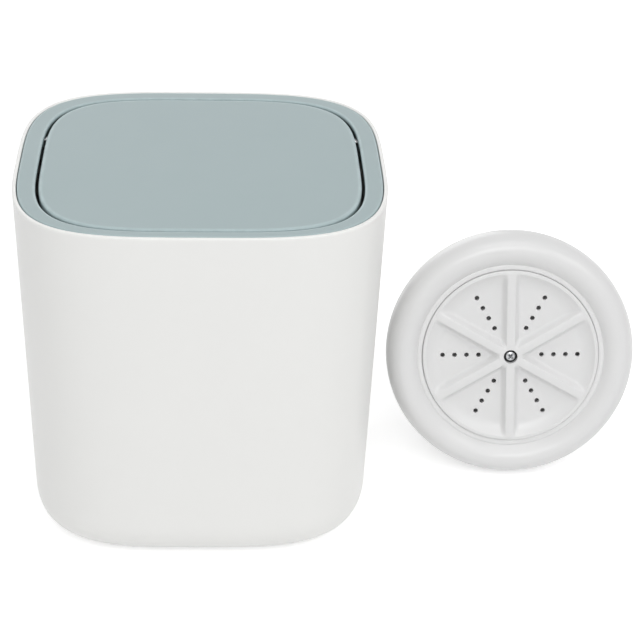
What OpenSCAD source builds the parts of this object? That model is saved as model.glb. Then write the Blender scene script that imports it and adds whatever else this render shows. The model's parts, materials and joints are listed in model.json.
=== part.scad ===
// Portable mini washer: a lidded rounded-square wash tub and the round
// turbine unit that is set on its floor, here stood on its edge beside it.
// Millimetres. The origin is on the ground under the middle of the tub, +Z is
// up, the front of the tub faces -Y and the washer unit stands on the +X side.

/* [Tub] */

// Outer width and depth across the rim
tub_width = 190; // [155:1:230]
// Height from the ground to the rim
tub_height = 190; // [150:1:240]
// Outer width where the rounded bottom edge begins
tub_base_width = 178; // [148:1:214]
// Radius of the rounded bottom edge
bottom_radius = 21; // [10:1:30]
// Squareness of the tub outline, where 2 would be a circle
tub_power = 3.7; // [2.5:0.1:6]
// Thickness of the tub wall and floor
tub_wall = 2.8; // [2.4:0.1:4]
// Thickness of the rim lip that stands around the lid frame
lip_thickness = 2; // [1.2:0.1:2.2]
// Depth of the rebate that the lid frame drops into
rebate_depth = 6.5; // [4:0.5:12]
// Height of the hollow under the floor
foot_recess = 1; // [0.5:0.1:1.4]
// Width of the ring that the tub stands on
foot_width = 9; // [5:1:15]

/* [Lid frame] */

// Gap between the lid frame and the tub
frame_clearance = 0.4; // [0.3:0.05:0.8]
// Width of the frame's top face at the sides
frame_side = 9.3; // [8:0.1:16]
// Width of the frame's top face at the front
frame_front = 5.9; // [4.5:0.1:16]
// Width of the frame's top face at the rear
frame_rear = 8.5; // [6:0.1:16]
// Thickness of the frame's top plate
frame_plate = 2.6; // [1.8:0.1:4]
// Depth of the frame's skirt below the rim
frame_depth = 22; // [16:1:40]
// Thickness of the frame's skirt
frame_skirt = 1.8; // [1.2:0.1:3]

/* [Lid flap] */

// Gap all round between the flap and the frame
flap_gap = 1.6; // [1.2:0.1:2.5]
// Squareness of the flap outline
flap_power = 3.9; // [2.5:0.1:6]
// Thickness of the flap's top plate
flap_plate = 2.2; // [1.6:0.1:4]
// Depth of the flap's rim below its top
flap_rim = 8; // [6:0.5:11]
// Thickness of the flap's rim
flap_rim_wall = 1.6; // [1:0.1:3]
// Distance of the swing axis below the top
pivot_drop = 6; // [5:0.5:9]
// Distance of the swing axis behind the flap's middle
pivot_back = 40; // [25:1:50]
// Diameter of the pivot pins
pin_diameter = 4; // [3:0.5:6]
// Radial play of the pivot pins in the frame
pin_play = 0.05; // [0.02:0.01:0.1]

/* [Washer unit] */

// Largest diameter of the washer unit
washer_diameter = 137; // [115:1:165]
// Taper of the base's side, which is also its lean when it stands on edge
base_draft = 13; // [9:0.5:16]
// Wall thickness of both shells
washer_wall = 2.4; // [1.8:0.1:3.5]
// Reach of the outer shoulder from the crest to the largest diameter
shoulder_reach = 9; // [6:0.5:14]
// Height of the outer shoulder from the largest diameter to the crest
shoulder_height = 14.5; // [10:0.5:20]
// Width of the slope from the crest to the bead
slope_width = 9; // [5:0.1:14]
// Fall of the slope from the crest to the bead
slope_fall = 4.6; // [2:0.1:6]
// Width of the bead around the pulsator
bead_width = 1.8; // [1.2:0.1:3]
// Gap between the bead and the pulsator
pulsator_gap = 0.3; // [0.3:0.1:2]
// Radius of the base's lower edge
heel_radius = 5; // [3:0.5:8]
// Height of the shells' joint above the base's inside floor
joint_height = 29.6; // [25:0.2:36]
// Width of the two joint flanges
flange_width = 5.6; // [4.5:0.1:8]
// Width of the rubber ring in the joint
seal_ring_width = 2; // [1.4:0.1:3]
// Depth of the rubber ring's groove
seal_ring_depth = 1.2; // [0.8:0.1:2]
// Radius of the long housing screws' shanks
screw_radius = 1.5; // [1.2:0.1:2]
// Radius of the screw columns
column_radius = 4.6; // [4:0.1:6]

/* [Suction cups] */

// Height of the base above the surface that the cups hold
cup_height = 8; // [6:0.5:12]
// Radius of each suction cup
cup_radius = 14; // [9:0.5:17]
// Radius of each cup's stem in the base
stem_radius = 4; // [3:0.5:5]

/* [Pulsator] */

// Height of the ribs above the dish's floor
rib_height = 4.8; // [4:0.1:8]
// Width of a rib at its foot
rib_foot = 6.2; // [5:0.1:9]
// Width of a rib at its crest
rib_crest = 4.6; // [2.5:0.1:6]
// Radius of the fillet along a rib's foot
rib_fillet = 2.4; // [0.5:0.1:3]
// Thickness of the dish
dish_wall = 2.2; // [1.6:0.1:2.6]
// Rise of the dish from its floor to its rim
dish_rise = 3.8; // [2:0.1:4]
// Number of ribs and of hole rows
rib_count = 6; // [4:1:8]
// Number of holes in each row
row_holes = 4; // [2:1:5]
// Distance of the innermost hole from the middle
hole_start = 17.4; // [15:0.1:22]
// Distance of the outermost hole as a share of the pulsator's radius
hole_reach = 0.77; // [0.6:0.01:0.8]
// Diameter of the holes
hole_diameter = 2.6; // [1.6:0.1:4]
// Height of the crest above the ribs
crest_rise = 2.1; // [0.5:0.1:5]
// Length of the hub's grip on the shaft
hub_grip = 4.5; // [3:0.5:8]
// Thickness of the hub's floor under the screw
hub_floor = 1.8; // [1:0.1:2.2]
// Radius of the screw's well in the hub
well_radius = 3.8; // [3.4:0.1:5]

/* [Drive] */

// Radius of the motor's can
motor_radius = 12.2; // [10:0.1:15]
// Length of the motor with its end cap
motor_length = 22.7; // [18:0.1:30]
// Length of the motor's end cap
motor_cap_length = 4; // [3:0.5:6]
// Radius of the motor's shaft
motor_shaft_radius = 1; // [1:0.25:1.5]
// Tooth module of the gears
gear_module = 0.8; // [0.6:0.05:1]
// Teeth of the gear on the output shaft
gear_teeth = 56; // [40:2:64]
// Teeth of the motor's pinion
pinion_teeth = 14; // [12:2:20]
// Width of the gears
gear_width = 5; // [3:0.5:8]
// Play between the teeth along the pitch line
tooth_play = 0.16; // [0.1:0.02:0.3]
// Radius of the output shaft
shaft_radius = 2.5; // [2:0.25:4]
// Radial play of the output shaft in what carries it
shaft_play = 0.05; // [0.02:0.01:0.1]
// Outer radius of the bearing and of the shaft seal
bearing_radius = 6.5; // [5.5:0.5:9]
// Width of the bearing
bearing_width = 4; // [3:0.5:6]
// Width of the shaft seal
seal_width = 4; // [3:0.5:6]
// Thickness of the plate that carries motor and shaft
plate_thickness = 2; // [1.5:0.1:3]

/* [Supply] */

// Radius of the bore that the supply lead comes in by
gland_bore = 2.1; // [1.5:0.1:3]
// Radius of the gland in the wall
gland_radius = 4; // [3.5:0.1:5]
// Height of the gland above the base's inside floor
gland_height = 12; // [9:0.5:15]
// Thickness of the circuit board
board_thickness = 1.6; // [1:0.2:2]
// Width of the circuit board
board_width = 24; // [16:1:26]

/* [Placement] */

// Gap between the tub's rim width and the washer unit
stand_gap = 9.8; // [2:0.1:60]
// Distance of the unit's foot behind the tub's middle
stand_back = 67.9; // [-40:0.1:90]
// Turn of the unit about the upright
stand_turn = -3; // [-40:1:40]

/* [Hidden] */

$fn = 96;

// Points around every rounded-square outline
outline_points = 80;
// Steps of every rounded edge of the tub
edge_steps = 8;

white = [0.91, 0.91, 0.90];
grey_blue = [0.67, 0.725, 0.73];
shell_white = [0.88, 0.88, 0.88];
steel = [0.72, 0.73, 0.75];
dark_rubber = [0.13, 0.13, 0.14];
clear_rubber = [0.80, 0.82, 0.83];
dark_plastic = [0.16, 0.16, 0.17];
board_green = [0.10, 0.32, 0.20];
gear_nylon = [0.93, 0.91, 0.84];
brass = [0.80, 0.66, 0.35];

// Small gap between flat faces of pieces that come apart
seat_gap = 0.2;
// Radial gap of a pressed or glued seat inside one assembly
press_gap = 0.02;
// Radial gap around screws in their holes
screw_gap = 0.1;
eps = 0.5;

// tub

// Outer half width of the straight wall at height z
function side_half(z) = tub_base_width / 2
    + (tub_width - tub_base_width) / 2 * (z - bottom_radius) / (tub_height - bottom_radius);

foot_half = tub_base_width / 2 - bottom_radius;
lip_half = tub_width / 2 - lip_thickness;
seat_z = tub_height - rebate_depth;
lip_round = lip_thickness / 3;

// lid frame

frame_half = lip_half - frame_clearance;
frame_seat = seat_z + seat_gap;
frame_bottom = tub_height - frame_depth;
plate_under = tub_height - frame_plate;
opening_x = frame_half - frame_side;
opening_y = frame_half - (frame_front + frame_rear) / 2;
opening_shift = (frame_front - frame_rear) / 2;
edge_land = 1.6;
edge_round = 0.4;

// Outer half width of the frame's skirt at height z
function plug_half(z) = side_half(z) - tub_wall - frame_clearance;

// Half width, at a distance y from its middle, of a rounded-square outline
function width_at(half_x, half_y, y, power) = half_x * pow(1 - pow(abs(y) / half_y, power), 1 / power);

// lid flap

flap_x = opening_x - flap_gap;
flap_y = opening_y - flap_gap;
flap_under = tub_height - flap_plate;
flap_bottom = tub_height - flap_rim;
flap_round = 1;
flap_taper = 0.3;
pivot_y = opening_shift + pivot_back;
pivot_z = tub_height - pivot_drop;
pin_radius = pin_diameter / 2;
lug_radius = pin_radius + 3;
lug_in = width_at(opening_x, opening_y, pivot_back - lug_radius, flap_power) + frame_plate - edge_land;
lug_out = width_at(plug_half(pivot_z), plug_half(pivot_z), pivot_y + lug_radius, tub_power) - frame_skirt;
lug_root = 0.8 * frame_skirt;
lug_length = lug_out + lug_root - lug_in;
ear_radius = pin_radius + 2;
ear_width = 4.5;
ear_length = ear_width + flap_rim_wall / 2;
flap_side = width_at(flap_x, flap_y, pivot_back + ear_radius, flap_power);
pin_in = flap_side - flap_rim_wall - ear_width;
pin_out = lug_out - 0.5;
flap_rib_wall = 1.8;
flap_rib_bottom = flap_bottom + 2;
flap_rib_height = flap_under + eps - flap_rib_bottom;
stop_x = 0.33 * flap_x;
stop_width = 9;
stop_thickness = 2.5;
stop_gap = 0.3;
stop_overlap = 4;
stop_in = flap_y - opening_shift - stop_overlap;
stop_length = plug_half(flap_bottom) - frame_skirt - stop_in;

// washer unit, heights from the surface that the cups hold

inside_floor = cup_height + washer_wall;
motor_bottom = inside_floor + 0.6;
motor_top = motor_bottom + motor_length;
plate_top = motor_top + plate_thickness;
bush_flange = 1;
gear_bottom = plate_top + bush_flange + 0.8;
gear_top = gear_bottom + gear_width;
sleeve_bottom = gear_top + 0.5;
bearing_bottom = sleeve_bottom + 0.2;
bearing_top = bearing_bottom + bearing_width;
shoulder_top = bearing_top + 0.7;
sleeve_top = shoulder_top + seal_width;
recess_floor = sleeve_top - 3;
floor_under = recess_floor - washer_wall;
hub_bottom = sleeve_top + 0.6;
hub_seat = hub_bottom + hub_grip;
dish_top = hub_seat + 0.6;
rib_top = dish_top + rib_height;
washer_height = rib_top + crest_rise;
joint_z = inside_floor + joint_height;

// washer unit, radii

washer_radius = washer_diameter / 2;
crest_radius = washer_radius - shoulder_reach;
crest_centre = washer_height - shoulder_height;
crease_radius = crest_radius - slope_width;
crease_z = washer_height - slope_fall;
recess_radius = crease_radius - bead_width;
bead_rise = 0.4;
pulsator_radius = recess_radius - pulsator_gap;
sleeve_radius = bearing_radius + 2.2;
draft_angle = atan(tan(base_draft) * shoulder_height / shoulder_reach);
cone_top_r = crest_radius + shoulder_reach * cos(draft_angle);
cone_top_z = crest_centre - shoulder_height * sin(draft_angle);

// Outer radius of the tapered side at height z
function cone_r(z) = cone_top_r - tan(base_draft) * (cone_top_z - z);

// Inner radius of the tapered side at height z
function wall_in(z) = cone_r(z) - washer_wall / cos(base_draft);

heel_z = cup_height + heel_radius;
heel_r = cone_r(heel_z - heel_radius * sin(base_draft)) - heel_radius * cos(base_draft);
heel_inside = 3;
inside_radius = wall_in(inside_floor);
flange_in = cone_r(joint_z) - flange_width;
flange_height = 3;
flange_slope = 2;
seal_ring_mid = cone_r(joint_z) - flange_width / 2;
seal_ring_in = seal_ring_mid - seal_ring_width / 2;
seal_ring_out = seal_ring_mid + seal_ring_width / 2;
column_circle = min(recess_radius, inside_radius - 4) - column_radius;
column_start = 90;
cup_circle = heel_r - cup_radius;
cup_start = 30;
screw_seat = joint_z - 8;
screw_head = screw_radius + 1.4;
pilot_top = floor_under - 0.5;
shoulder_steps = 28;
slope_steps = 12;
shoulder_width = 1.5;

// drive

gear_pitch = gear_module * gear_teeth / 2;
pinion_pitch = gear_module * pinion_teeth / 2;
pinion_x = -(gear_pitch + pinion_pitch);
pressure_angle = 25;
addendum = gear_module * 0.95;
dedendum = gear_module * 1.2;
post_radius = 3;
post_screw = 1.1;
post_pilot = 7;
post_arm = 4.5;
motor_cup_wall = 2;
motor_cup_height = 8;
post_y = motor_radius + 4.2;
post_x = gear_pitch + addendum + post_radius + 1.2;
plate_arm = 9;
bush_radius = shaft_radius + 1.5;
bush_flange_radius = bush_radius + 1.5;
motor_boss = 3.4;
motor_screw_reach = 7.5;
motor_screw_radius = 1.1;
motor_screw_depth = 3;
motor_end_wall = 3;
gear_rim = 4;
groove_depth = 0.4;
groove_land = 1.2;
terminal_width = 2.8;
terminal_height = 2.4;
terminal_apart = 5;
terminal_out = motor_radius + 0.8;
terminal_slot = 16;

// pulsator

dish_under = dish_top - dish_wall;
dish_flat = 0.78 * pulsator_radius;
rim_in = 0.96 * pulsator_radius;
rim_wall = 1.6;
rim_round = 0.8;
rim_top = dish_top + dish_rise;
skirt_bottom = dish_under - 2;
hub_radius = well_radius + 2.4;
hub_foot = sleeve_radius + 2.6;
hub_round = 0.4;
hub_top = rib_top - 0.2;
well_floor = hub_seat + hub_floor;
rib_end = (rim_in + pulsator_radius) / 2;
rib_root = 1;
rib_start = 92;
rib_crown = 1.1;
washer_thickness = 0.8;
hub_screw_radius = 1.5;
hub_screw_length = 8;
hole_step = (hole_reach * pulsator_radius - hole_start) / (row_holes - 1);
dish_steps = 8;
dish_radii = [for (i = [0 : dish_steps]) dish_flat + (rim_in - dish_flat) * i / dish_steps];

// supply

gland_z = inside_floor + gland_height;
gland_wall_r = cone_r(gland_z);
board_z = inside_floor + 5;
board_in = shaft_radius + 5.5;
board_out = gland_wall_r - washer_wall - 9;
board_post = 2.4;
gland_flange = 1.2;

// placement

stand_x = tub_width / 2 + stand_gap + washer_radius;
stand_z = cone_top_r * cos(base_draft) - cone_top_z * sin(base_draft);

// shared shapes

function sgn_pow(v, p) = sign(v) * pow(abs(v), p);

// Points of a rounded-square outline with half sizes a and b
function outline(a, b, power) = [
    for (i = [0 : outline_points - 1])
        let (t = 360 * i / outline_points)
        [a * sgn_pow(cos(t), 2 / power), b * sgn_pow(sin(t), 2 / power)]
];

// One section of a loft: half sizes, shift along Y, height and squareness
function section(a, b, shift, z, power) = [
    for (p = outline(a, b, power)) [p[0], p[1] + shift, z]
];

// Points on an elliptical arc
function arc(x, y, rx, ry, from, to, steps) = [
    for (i = [0 : steps])
        let (t = from + (to - from) * i / steps)
        [x + rx * cos(t), y + ry * sin(t)]
];

// Skin over a row of sections, either capped at both ends or closed in a ring
module loft(sections, ring = false) {
    count = len(sections);
    n = outline_points;
    last = ring ? count - 1 : count - 2;
    walls = [
        for (j = [0 : last], i = [0 : n - 1])
            let (a = j * n, b = ((j + 1) % count) * n, k = (i + 1) % n)
            each [[a + i, b + i, b + k], [a + i, b + k, a + k]]
    ];
    caps = ring ? [] : [
        [for (i = [0 : n - 1]) i],
        [for (i = [n - 1 : -1 : 0]) (count - 1) * n + i]
    ];
    polyhedron(points = [for (s = sections) each s], faces = concat(walls, caps), convexity = 10);
}

// Stands the washer unit on its tapered side beside the tub
module stand() {
    translate([stand_x, stand_back, stand_z])
    rotate([90 - base_draft, 0, stand_turn])
    children();
}

// Three copies around the unit's axis, beginning at an angle
module thrice(start) {
    for (i = [0 : 2])
        rotate([0, 0, start + 120 * i])
        children();
}

// The two screw places beside the motor and the one across the shaft
module at_posts() {
    for (p = [[pinion_x, post_y], [pinion_x, -post_y], [post_x, 0]])
        translate([p[0], p[1], 0])
        children();
}

// A ring standing on z = 0
module ring(outer, inner, height) {
    difference() {
        cylinder(r = outer, h = height);
        translate([0, 0, -eps])
        cylinder(r = inner, h = height + 2 * eps);
    }
}

// The outline of an involute gear
function flank_angle(base, r) = let (c = acos(min(1, base / r))) tan(c) * 180 / PI - c;

function gear_outline(teeth) =
    let (
        pitch = gear_module * teeth / 2,
        base = pitch * cos(pressure_angle),
        tip = pitch + addendum,
        root = pitch - dedendum,
        start = max(base, root),
        foot = base > root ? [root] : [],
        half = 90 / teeth - tooth_play / 4 / pitch * 180 / PI + flank_angle(base, pitch),
        radii = concat(foot, [for (i = [0 : 3]) start + (tip - start) * i / 3]),
        last = len(radii) - 1
    )
    [
        for (k = [0 : teeth - 1])
            let (mid = 360 * k / teeth)
            each concat(
                [for (r = radii) [r, mid - half + flank_angle(base, r)]],
                [for (i = [last : -1 : 0]) [radii[i], mid + half - flank_angle(base, radii[i])]]
            )
    ];

module gear_shape(teeth) {
    polygon([for (p = gear_outline(teeth)) [p[0] * cos(p[1]), p[0] * sin(p[1])]]);
}

// A screw with a cross recess, its head's underside at z = 0 and its shank up
module screw(shank, head, head_height, length) {
    difference() {
        union() {
            translate([0, 0, -head_height])
            cylinder(r = head, h = head_height);
            translate([0, 0, -eps])
            cylinder(r = shank, h = length + eps);
        }
        for (a = [0, 90])
            rotate([0, 0, a])
            translate([-head * 0.6, -head * 0.13, -head_height - eps])
            cube([head * 1.2, head * 0.26, head_height * 0.55 + eps]);
    }
}

// lidded tub

function tub_sections() = concat(
    [
        for (p = arc(foot_half, bottom_radius, bottom_radius, bottom_radius, -90, 0, edge_steps))
            section(p[0], p[0], 0, p[1], tub_power)
    ],
    [
        for (p = arc(tub_width / 2 - lip_round, tub_height - lip_round, lip_round, lip_round, 0, 90, 3))
            section(p[0], p[0], 0, p[1], tub_power)
    ],
    [
        for (p = arc(lip_half + lip_round, tub_height - lip_round, lip_round, lip_round, 90, 180, 3))
            section(p[0], p[0], 0, p[1], tub_power)
    ],
    [
        for (p = [[lip_half, seat_z], [side_half(seat_z) - tub_wall, seat_z]])
            section(p[0], p[0], 0, p[1], tub_power)
    ],
    [
        for (p = arc(
            foot_half, bottom_radius, bottom_radius - tub_wall, bottom_radius - tub_wall, 0, -90, edge_steps
        ))
            section(p[0], p[0], 0, p[1], tub_power)
    ]
);

module tub() {
    color(white)
    difference() {
        loft(tub_sections());
        translate([0, 0, -1])
        linear_extrude(foot_recess + 1)
        polygon(outline(foot_half - foot_width, foot_half - foot_width, tub_power));
    }
}

function frame_sections() = concat(
    [
        for (p = [
            [plug_half(frame_bottom), frame_bottom],
            [plug_half(frame_seat), frame_seat],
            [frame_half, frame_seat],
            [frame_half, tub_height - edge_round],
            [frame_half - edge_round, tub_height]
        ])
            section(p[0], p[0], 0, p[1], tub_power)
    ],
    [
        for (p = [
            [edge_round, tub_height],
            [0, tub_height - edge_round],
            [0, tub_height - edge_land],
            [frame_plate - edge_land, plate_under]
        ])
            section(opening_x + p[0], opening_y + p[0], opening_shift, p[1], flap_power)
    ],
    [
        for (p = [
            [plug_half(plate_under) - frame_skirt, plate_under],
            [plug_half(frame_bottom) - frame_skirt, frame_bottom]
        ])
            section(p[0], p[0], 0, p[1], tub_power)
    ]
);

module bearing_lug() {
    difference() {
        union() {
            translate([lug_in, pivot_y, pivot_z])
            rotate([0, 90, 0])
            cylinder(r = lug_radius, h = lug_length);
            translate([lug_in, pivot_y - lug_radius, pivot_z])
            cube([lug_length, 2 * lug_radius, plate_under + eps - pivot_z]);
        }
        translate([lug_in - eps, pivot_y, pivot_z])
        rotate([0, 90, 0])
        cylinder(r = pin_radius + pin_play, h = lug_out - lug_in + eps);
    }
}

module lid_frame() {
    color(grey_blue)
    union() {
        loft(frame_sections(), true);
        bearing_lug();
        mirror([1, 0, 0])
        bearing_lug();
        for (x = [-stop_x, stop_x])
            translate([x - stop_width / 2, -stop_in - stop_length, flap_bottom - stop_gap - stop_thickness])
            cube([stop_width, stop_length, stop_thickness]);
    }
}

function flap_sections() = [
    for (p = [
        [flap_taper + flap_rim_wall, flap_under],
        [flap_taper + flap_rim_wall, flap_bottom],
        [flap_taper, flap_bottom],
        [0, tub_height - flap_round],
        [flap_round * 0.29, tub_height - flap_round * 0.29],
        [flap_round, tub_height]
    ])
        section(flap_x - p[0], flap_y - p[0], opening_shift, p[1], flap_power)
];

module flap_ear() {
    translate([pin_in, pivot_y, pivot_z])
    rotate([0, 90, 0])
    cylinder(r = ear_radius, h = ear_length);
    translate([pin_in, pivot_y - ear_radius, pivot_z])
    cube([ear_length, 2 * ear_radius, flap_under + eps - pivot_z]);
}

module lid_flap() {
    bore_length = ear_width + flap_rim_wall + 3 * eps;
    color(grey_blue)
    difference() {
        union() {
            loft(flap_sections());
            flap_ear();
            mirror([1, 0, 0])
            flap_ear();
            translate([-pin_in - eps, pivot_y - flap_rib_wall / 2, flap_rib_bottom])
            cube([2 * (pin_in + eps), flap_rib_wall, flap_rib_height]);
            translate([-flap_rib_wall / 2, opening_shift - flap_y + flap_rim_wall, flap_rib_bottom])
            cube([flap_rib_wall, 2 * (flap_y - flap_rim_wall), flap_rib_height]);
        }
        for (s = [-1, 1])
            translate([s * (pin_in + bore_length / 2), pivot_y, pivot_z])
            rotate([0, 90, 0])
            cylinder(r = pin_radius + press_gap, h = bore_length, center = true);
    }
}

module pivot_pins() {
    color(steel)
    for (s = [0, 1])
        mirror([s, 0, 0])
        translate([pin_in, pivot_y, pivot_z])
        rotate([0, 90, 0])
        cylinder(r = pin_radius, h = pin_out - pin_in);
}

// washer unit: shells

// Point of the slope between the crest and the bead, at a share u of its width
function slope_point(u) = [crest_radius - slope_width * u, washer_height - slope_fall * pow(u, 1.7)];

function top_outside() = concat(
    [[cone_r(joint_z), joint_z]],
    arc(crest_radius, crest_centre, shoulder_reach, shoulder_height, -draft_angle, 90, shoulder_steps),
    [for (i = [1 : slope_steps]) slope_point(i / slope_steps)],
    arc(recess_radius + bead_width / 2, crease_z, bead_width / 2, bead_rise, 30, 180, 6),
    [[recess_radius, recess_floor]]
);

function top_sleeve() = [
    [sleeve_radius, recess_floor],
    [sleeve_radius, sleeve_top],
    [bearing_radius, sleeve_top],
    [bearing_radius, shoulder_top],
    [bearing_radius - shoulder_width, shoulder_top],
    [bearing_radius - shoulder_width, bearing_top],
    [bearing_radius, bearing_top],
    [bearing_radius, sleeve_bottom],
    [sleeve_radius, sleeve_bottom],
    [sleeve_radius, floor_under]
];

function top_inside() = concat(
    [
        [recess_radius + washer_wall, floor_under],
        [recess_radius + washer_wall, crease_z - washer_wall]
    ],
    [for (u = [0.6, 0.4, 0.2]) slope_point(u) - [0, washer_wall]],
    arc(
        crest_radius, crest_centre, shoulder_reach - washer_wall, shoulder_height - washer_wall,
        90, -draft_angle, 12
    ),
    [
        [wall_in(joint_z + flange_height + flange_slope), joint_z + flange_height + flange_slope],
        [flange_in, joint_z + flange_height],
        [flange_in, joint_z]
    ]
);

module top_housing() {
    color(shell_white)
    stand()
    difference() {
        union() {
            rotate_extrude()
            polygon(concat(top_outside(), top_sleeve(), top_inside()));
            thrice(column_start)
            translate([column_circle, 0, joint_z])
            cylinder(r = column_radius, h = floor_under + eps - joint_z);
            at_posts()
            translate([0, 0, plate_top])
            cylinder(r = post_radius, h = floor_under + eps - plate_top);
        }
        thrice(column_start)
        translate([column_circle, 0, joint_z - eps])
        cylinder(r = screw_radius + press_gap, h = pilot_top - joint_z + eps);
        at_posts()
        translate([0, 0, plate_top - eps])
        cylinder(r = post_screw + press_gap, h = post_pilot + eps);
    }
}

function base_outside() = concat(
    [[0, cup_height]],
    arc(heel_r, heel_z, heel_radius, heel_radius, -90, -base_draft, 6),
    [[cone_r(joint_z), joint_z]]
);

function base_inside() = [
    [flange_in, joint_z],
    [flange_in, joint_z - flange_height],
    [wall_in(joint_z - flange_height - flange_slope), joint_z - flange_height - flange_slope],
    [wall_in(inside_floor + heel_inside), inside_floor + heel_inside],
    [inside_radius - heel_inside, inside_floor],
    [0, inside_floor]
];

// Ring that the motor stands in, open towards the board for its terminals
module motor_cup() {
    translate([pinion_x, 0, inside_floor - eps])
    difference() {
        cylinder(r = motor_radius + motor_cup_wall, h = motor_cup_height + eps);
        translate([0, 0, motor_bottom - inside_floor + eps])
        cylinder(r = motor_radius + press_gap, h = motor_cup_height);
        translate([0, -terminal_slot / 2, motor_bottom - inside_floor + eps])
        cube([2 * motor_radius, terminal_slot, motor_cup_height]);
    }
}

module base_housing() {
    color(shell_white)
    stand()
    difference() {
        union() {
            rotate_extrude()
            polygon(concat(base_outside(), base_inside()));
            thrice(column_start)
            translate([column_circle, 0, inside_floor - eps])
            cylinder(r = column_radius, h = joint_z - inside_floor + eps);
            motor_cup();
            for (x = [board_in + board_post, board_out - board_post])
                translate([x, 0, inside_floor - eps])
                cylinder(r = board_post, h = board_z - inside_floor + eps);
        }
        thrice(column_start)
        translate([column_circle, 0, cup_height - eps]) {
            cylinder(r = screw_radius + screw_gap, h = joint_z - cup_height + 2 * eps);
            cylinder(r = screw_head + 3 * screw_gap, h = screw_seat - cup_height + eps);
        }
        thrice(cup_start)
        translate([cup_circle, 0, cup_height - eps])
        cylinder(r = stem_radius + press_gap, h = washer_wall + 2 * eps);
        translate([0, 0, joint_z - seal_ring_depth])
        ring(seal_ring_out + press_gap, seal_ring_in - press_gap, seal_ring_depth + eps);
        translate([inside_radius - flange_width, 0, gland_z])
        rotate([0, 90, 0])
        cylinder(r = gland_radius + press_gap, h = 4 * flange_width);
    }
}

module housing_seal() {
    color(dark_rubber)
    stand()
    translate([0, 0, joint_z - seal_ring_depth])
    ring(seal_ring_out, seal_ring_in, seal_ring_depth);
}

module housing_screws() {
    color(steel)
    stand()
    thrice(column_start)
    translate([column_circle, 0, screw_seat])
    screw(screw_radius, screw_head, 2, pilot_top - screw_seat - 1);
}

module suction_cups() {
    skirt = cup_radius - stem_radius - 1.5;
    color(clear_rubber)
    stand()
    thrice(cup_start)
    translate([cup_circle, 0, 0])
    rotate_extrude()
    polygon(concat(
        [for (i = [0 : 8]) [cup_radius * i / 8 * 0.97, 3.4 * (1 - pow(i / 8, 2.2))]],
        [for (i = [0 : 8]) [cup_radius - skirt * i / 8, 0.7 + (cup_height - 2.7) * pow(i / 8, 1.4)]],
        [
            [stem_radius + 1.5, cup_height],
            [stem_radius, cup_height],
            [stem_radius, inside_floor],
            [stem_radius + 1, inside_floor],
            [stem_radius + 1, inside_floor + 1],
            [stem_radius - 0.5, inside_floor + 2.2],
            [0, inside_floor + 2.2]
        ]
    ));
}

// washer unit: drive

module gear_plate() {
    cut = plate_thickness + 2 * eps;
    color(steel)
    stand()
    translate([0, 0, motor_top])
    difference() {
        linear_extrude(plate_thickness)
        union() {
            translate([pinion_x, -plate_arm])
            square([post_x - pinion_x, 2 * plate_arm]);
            translate([post_x, 0])
            circle(r = plate_arm);
            translate([pinion_x, 0])
            circle(r = motor_radius + 1);
            translate([pinion_x - post_arm, -post_y])
            square([2 * post_arm, 2 * post_y]);
            for (s = [-1, 1])
                translate([pinion_x, s * post_y])
                circle(r = post_arm);
        }
        translate([0, 0, -eps])
        cylinder(r = bush_radius + press_gap, h = cut);
        translate([pinion_x, 0, -eps])
        cylinder(r = motor_boss + screw_gap, h = cut);
        for (s = [-1, 1])
            translate([pinion_x + s * motor_screw_reach, 0, -eps])
            cylinder(r = motor_screw_radius + screw_gap, h = cut);
        at_posts()
        translate([0, 0, -eps])
        cylinder(r = post_screw + screw_gap, h = cut);
    }
}

module plate_screws() {
    color(steel)
    stand()
    at_posts()
    translate([0, 0, motor_top])
    screw(post_screw, 2 * post_screw, 1.6, plate_thickness + post_pilot - 1);
}

module motor_can() {
    can_length = motor_length - motor_cap_length;
    color(steel)
    stand()
    translate([pinion_x, 0, motor_bottom + motor_cap_length])
    difference() {
        union() {
            cylinder(r = motor_radius, h = can_length);
            cylinder(r = motor_boss, h = can_length + plate_thickness);
        }
        translate([0, 0, motor_end_wall])
        cylinder(r = motor_shaft_radius + shaft_play, h = motor_length);
        for (s = [-1, 1])
            translate([s * motor_screw_reach, 0, can_length - motor_screw_depth - 1])
            cylinder(r = motor_screw_radius + press_gap, h = motor_screw_depth + 1 + eps);
    }
}

module motor_cap() {
    color(dark_plastic)
    stand()
    translate([pinion_x, 0, motor_bottom])
    union() {
        cylinder(r = motor_radius - 0.6, h = motor_cap_length);
        for (s = [-1, 1])
            translate([0, s * terminal_apart - terminal_width / 2, motor_cap_length - terminal_height])
            cube([terminal_out, terminal_width, terminal_height]);
    }
}

module motor_screws() {
    color(steel)
    stand()
    for (s = [-1, 1])
        translate([pinion_x + s * motor_screw_reach, 0, plate_top])
        mirror([0, 0, 1])
        screw(motor_screw_radius, motor_screw_radius + 0.8, 1.2, plate_thickness + motor_screw_depth);
}

module motor_shaft() {
    shaft_start = motor_bottom + motor_cap_length + motor_end_wall + 1;
    color(steel)
    stand()
    translate([pinion_x, 0, shaft_start])
    cylinder(r = motor_shaft_radius, h = gear_top - shaft_start);
}

module motor_pinion() {
    color(brass)
    stand()
    translate([pinion_x, 0, gear_bottom])
    difference() {
        rotate([0, 0, 180 / pinion_teeth])
        linear_extrude(gear_width)
        gear_shape(pinion_teeth);
        translate([0, 0, -eps])
        cylinder(r = motor_shaft_radius + press_gap, h = gear_width + 2 * eps);
    }
}

module drive_gear() {
    web = gear_width * 0.4;
    color(gear_nylon)
    stand()
    translate([0, 0, gear_bottom])
    difference() {
        linear_extrude(gear_width)
        gear_shape(gear_teeth);
        translate([0, 0, web])
        ring(gear_pitch - gear_rim, shaft_radius + gear_rim, gear_width);
        translate([0, 0, -eps])
        cylinder(r = shaft_radius + press_gap, h = gear_width + 2 * eps);
    }
}

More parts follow.
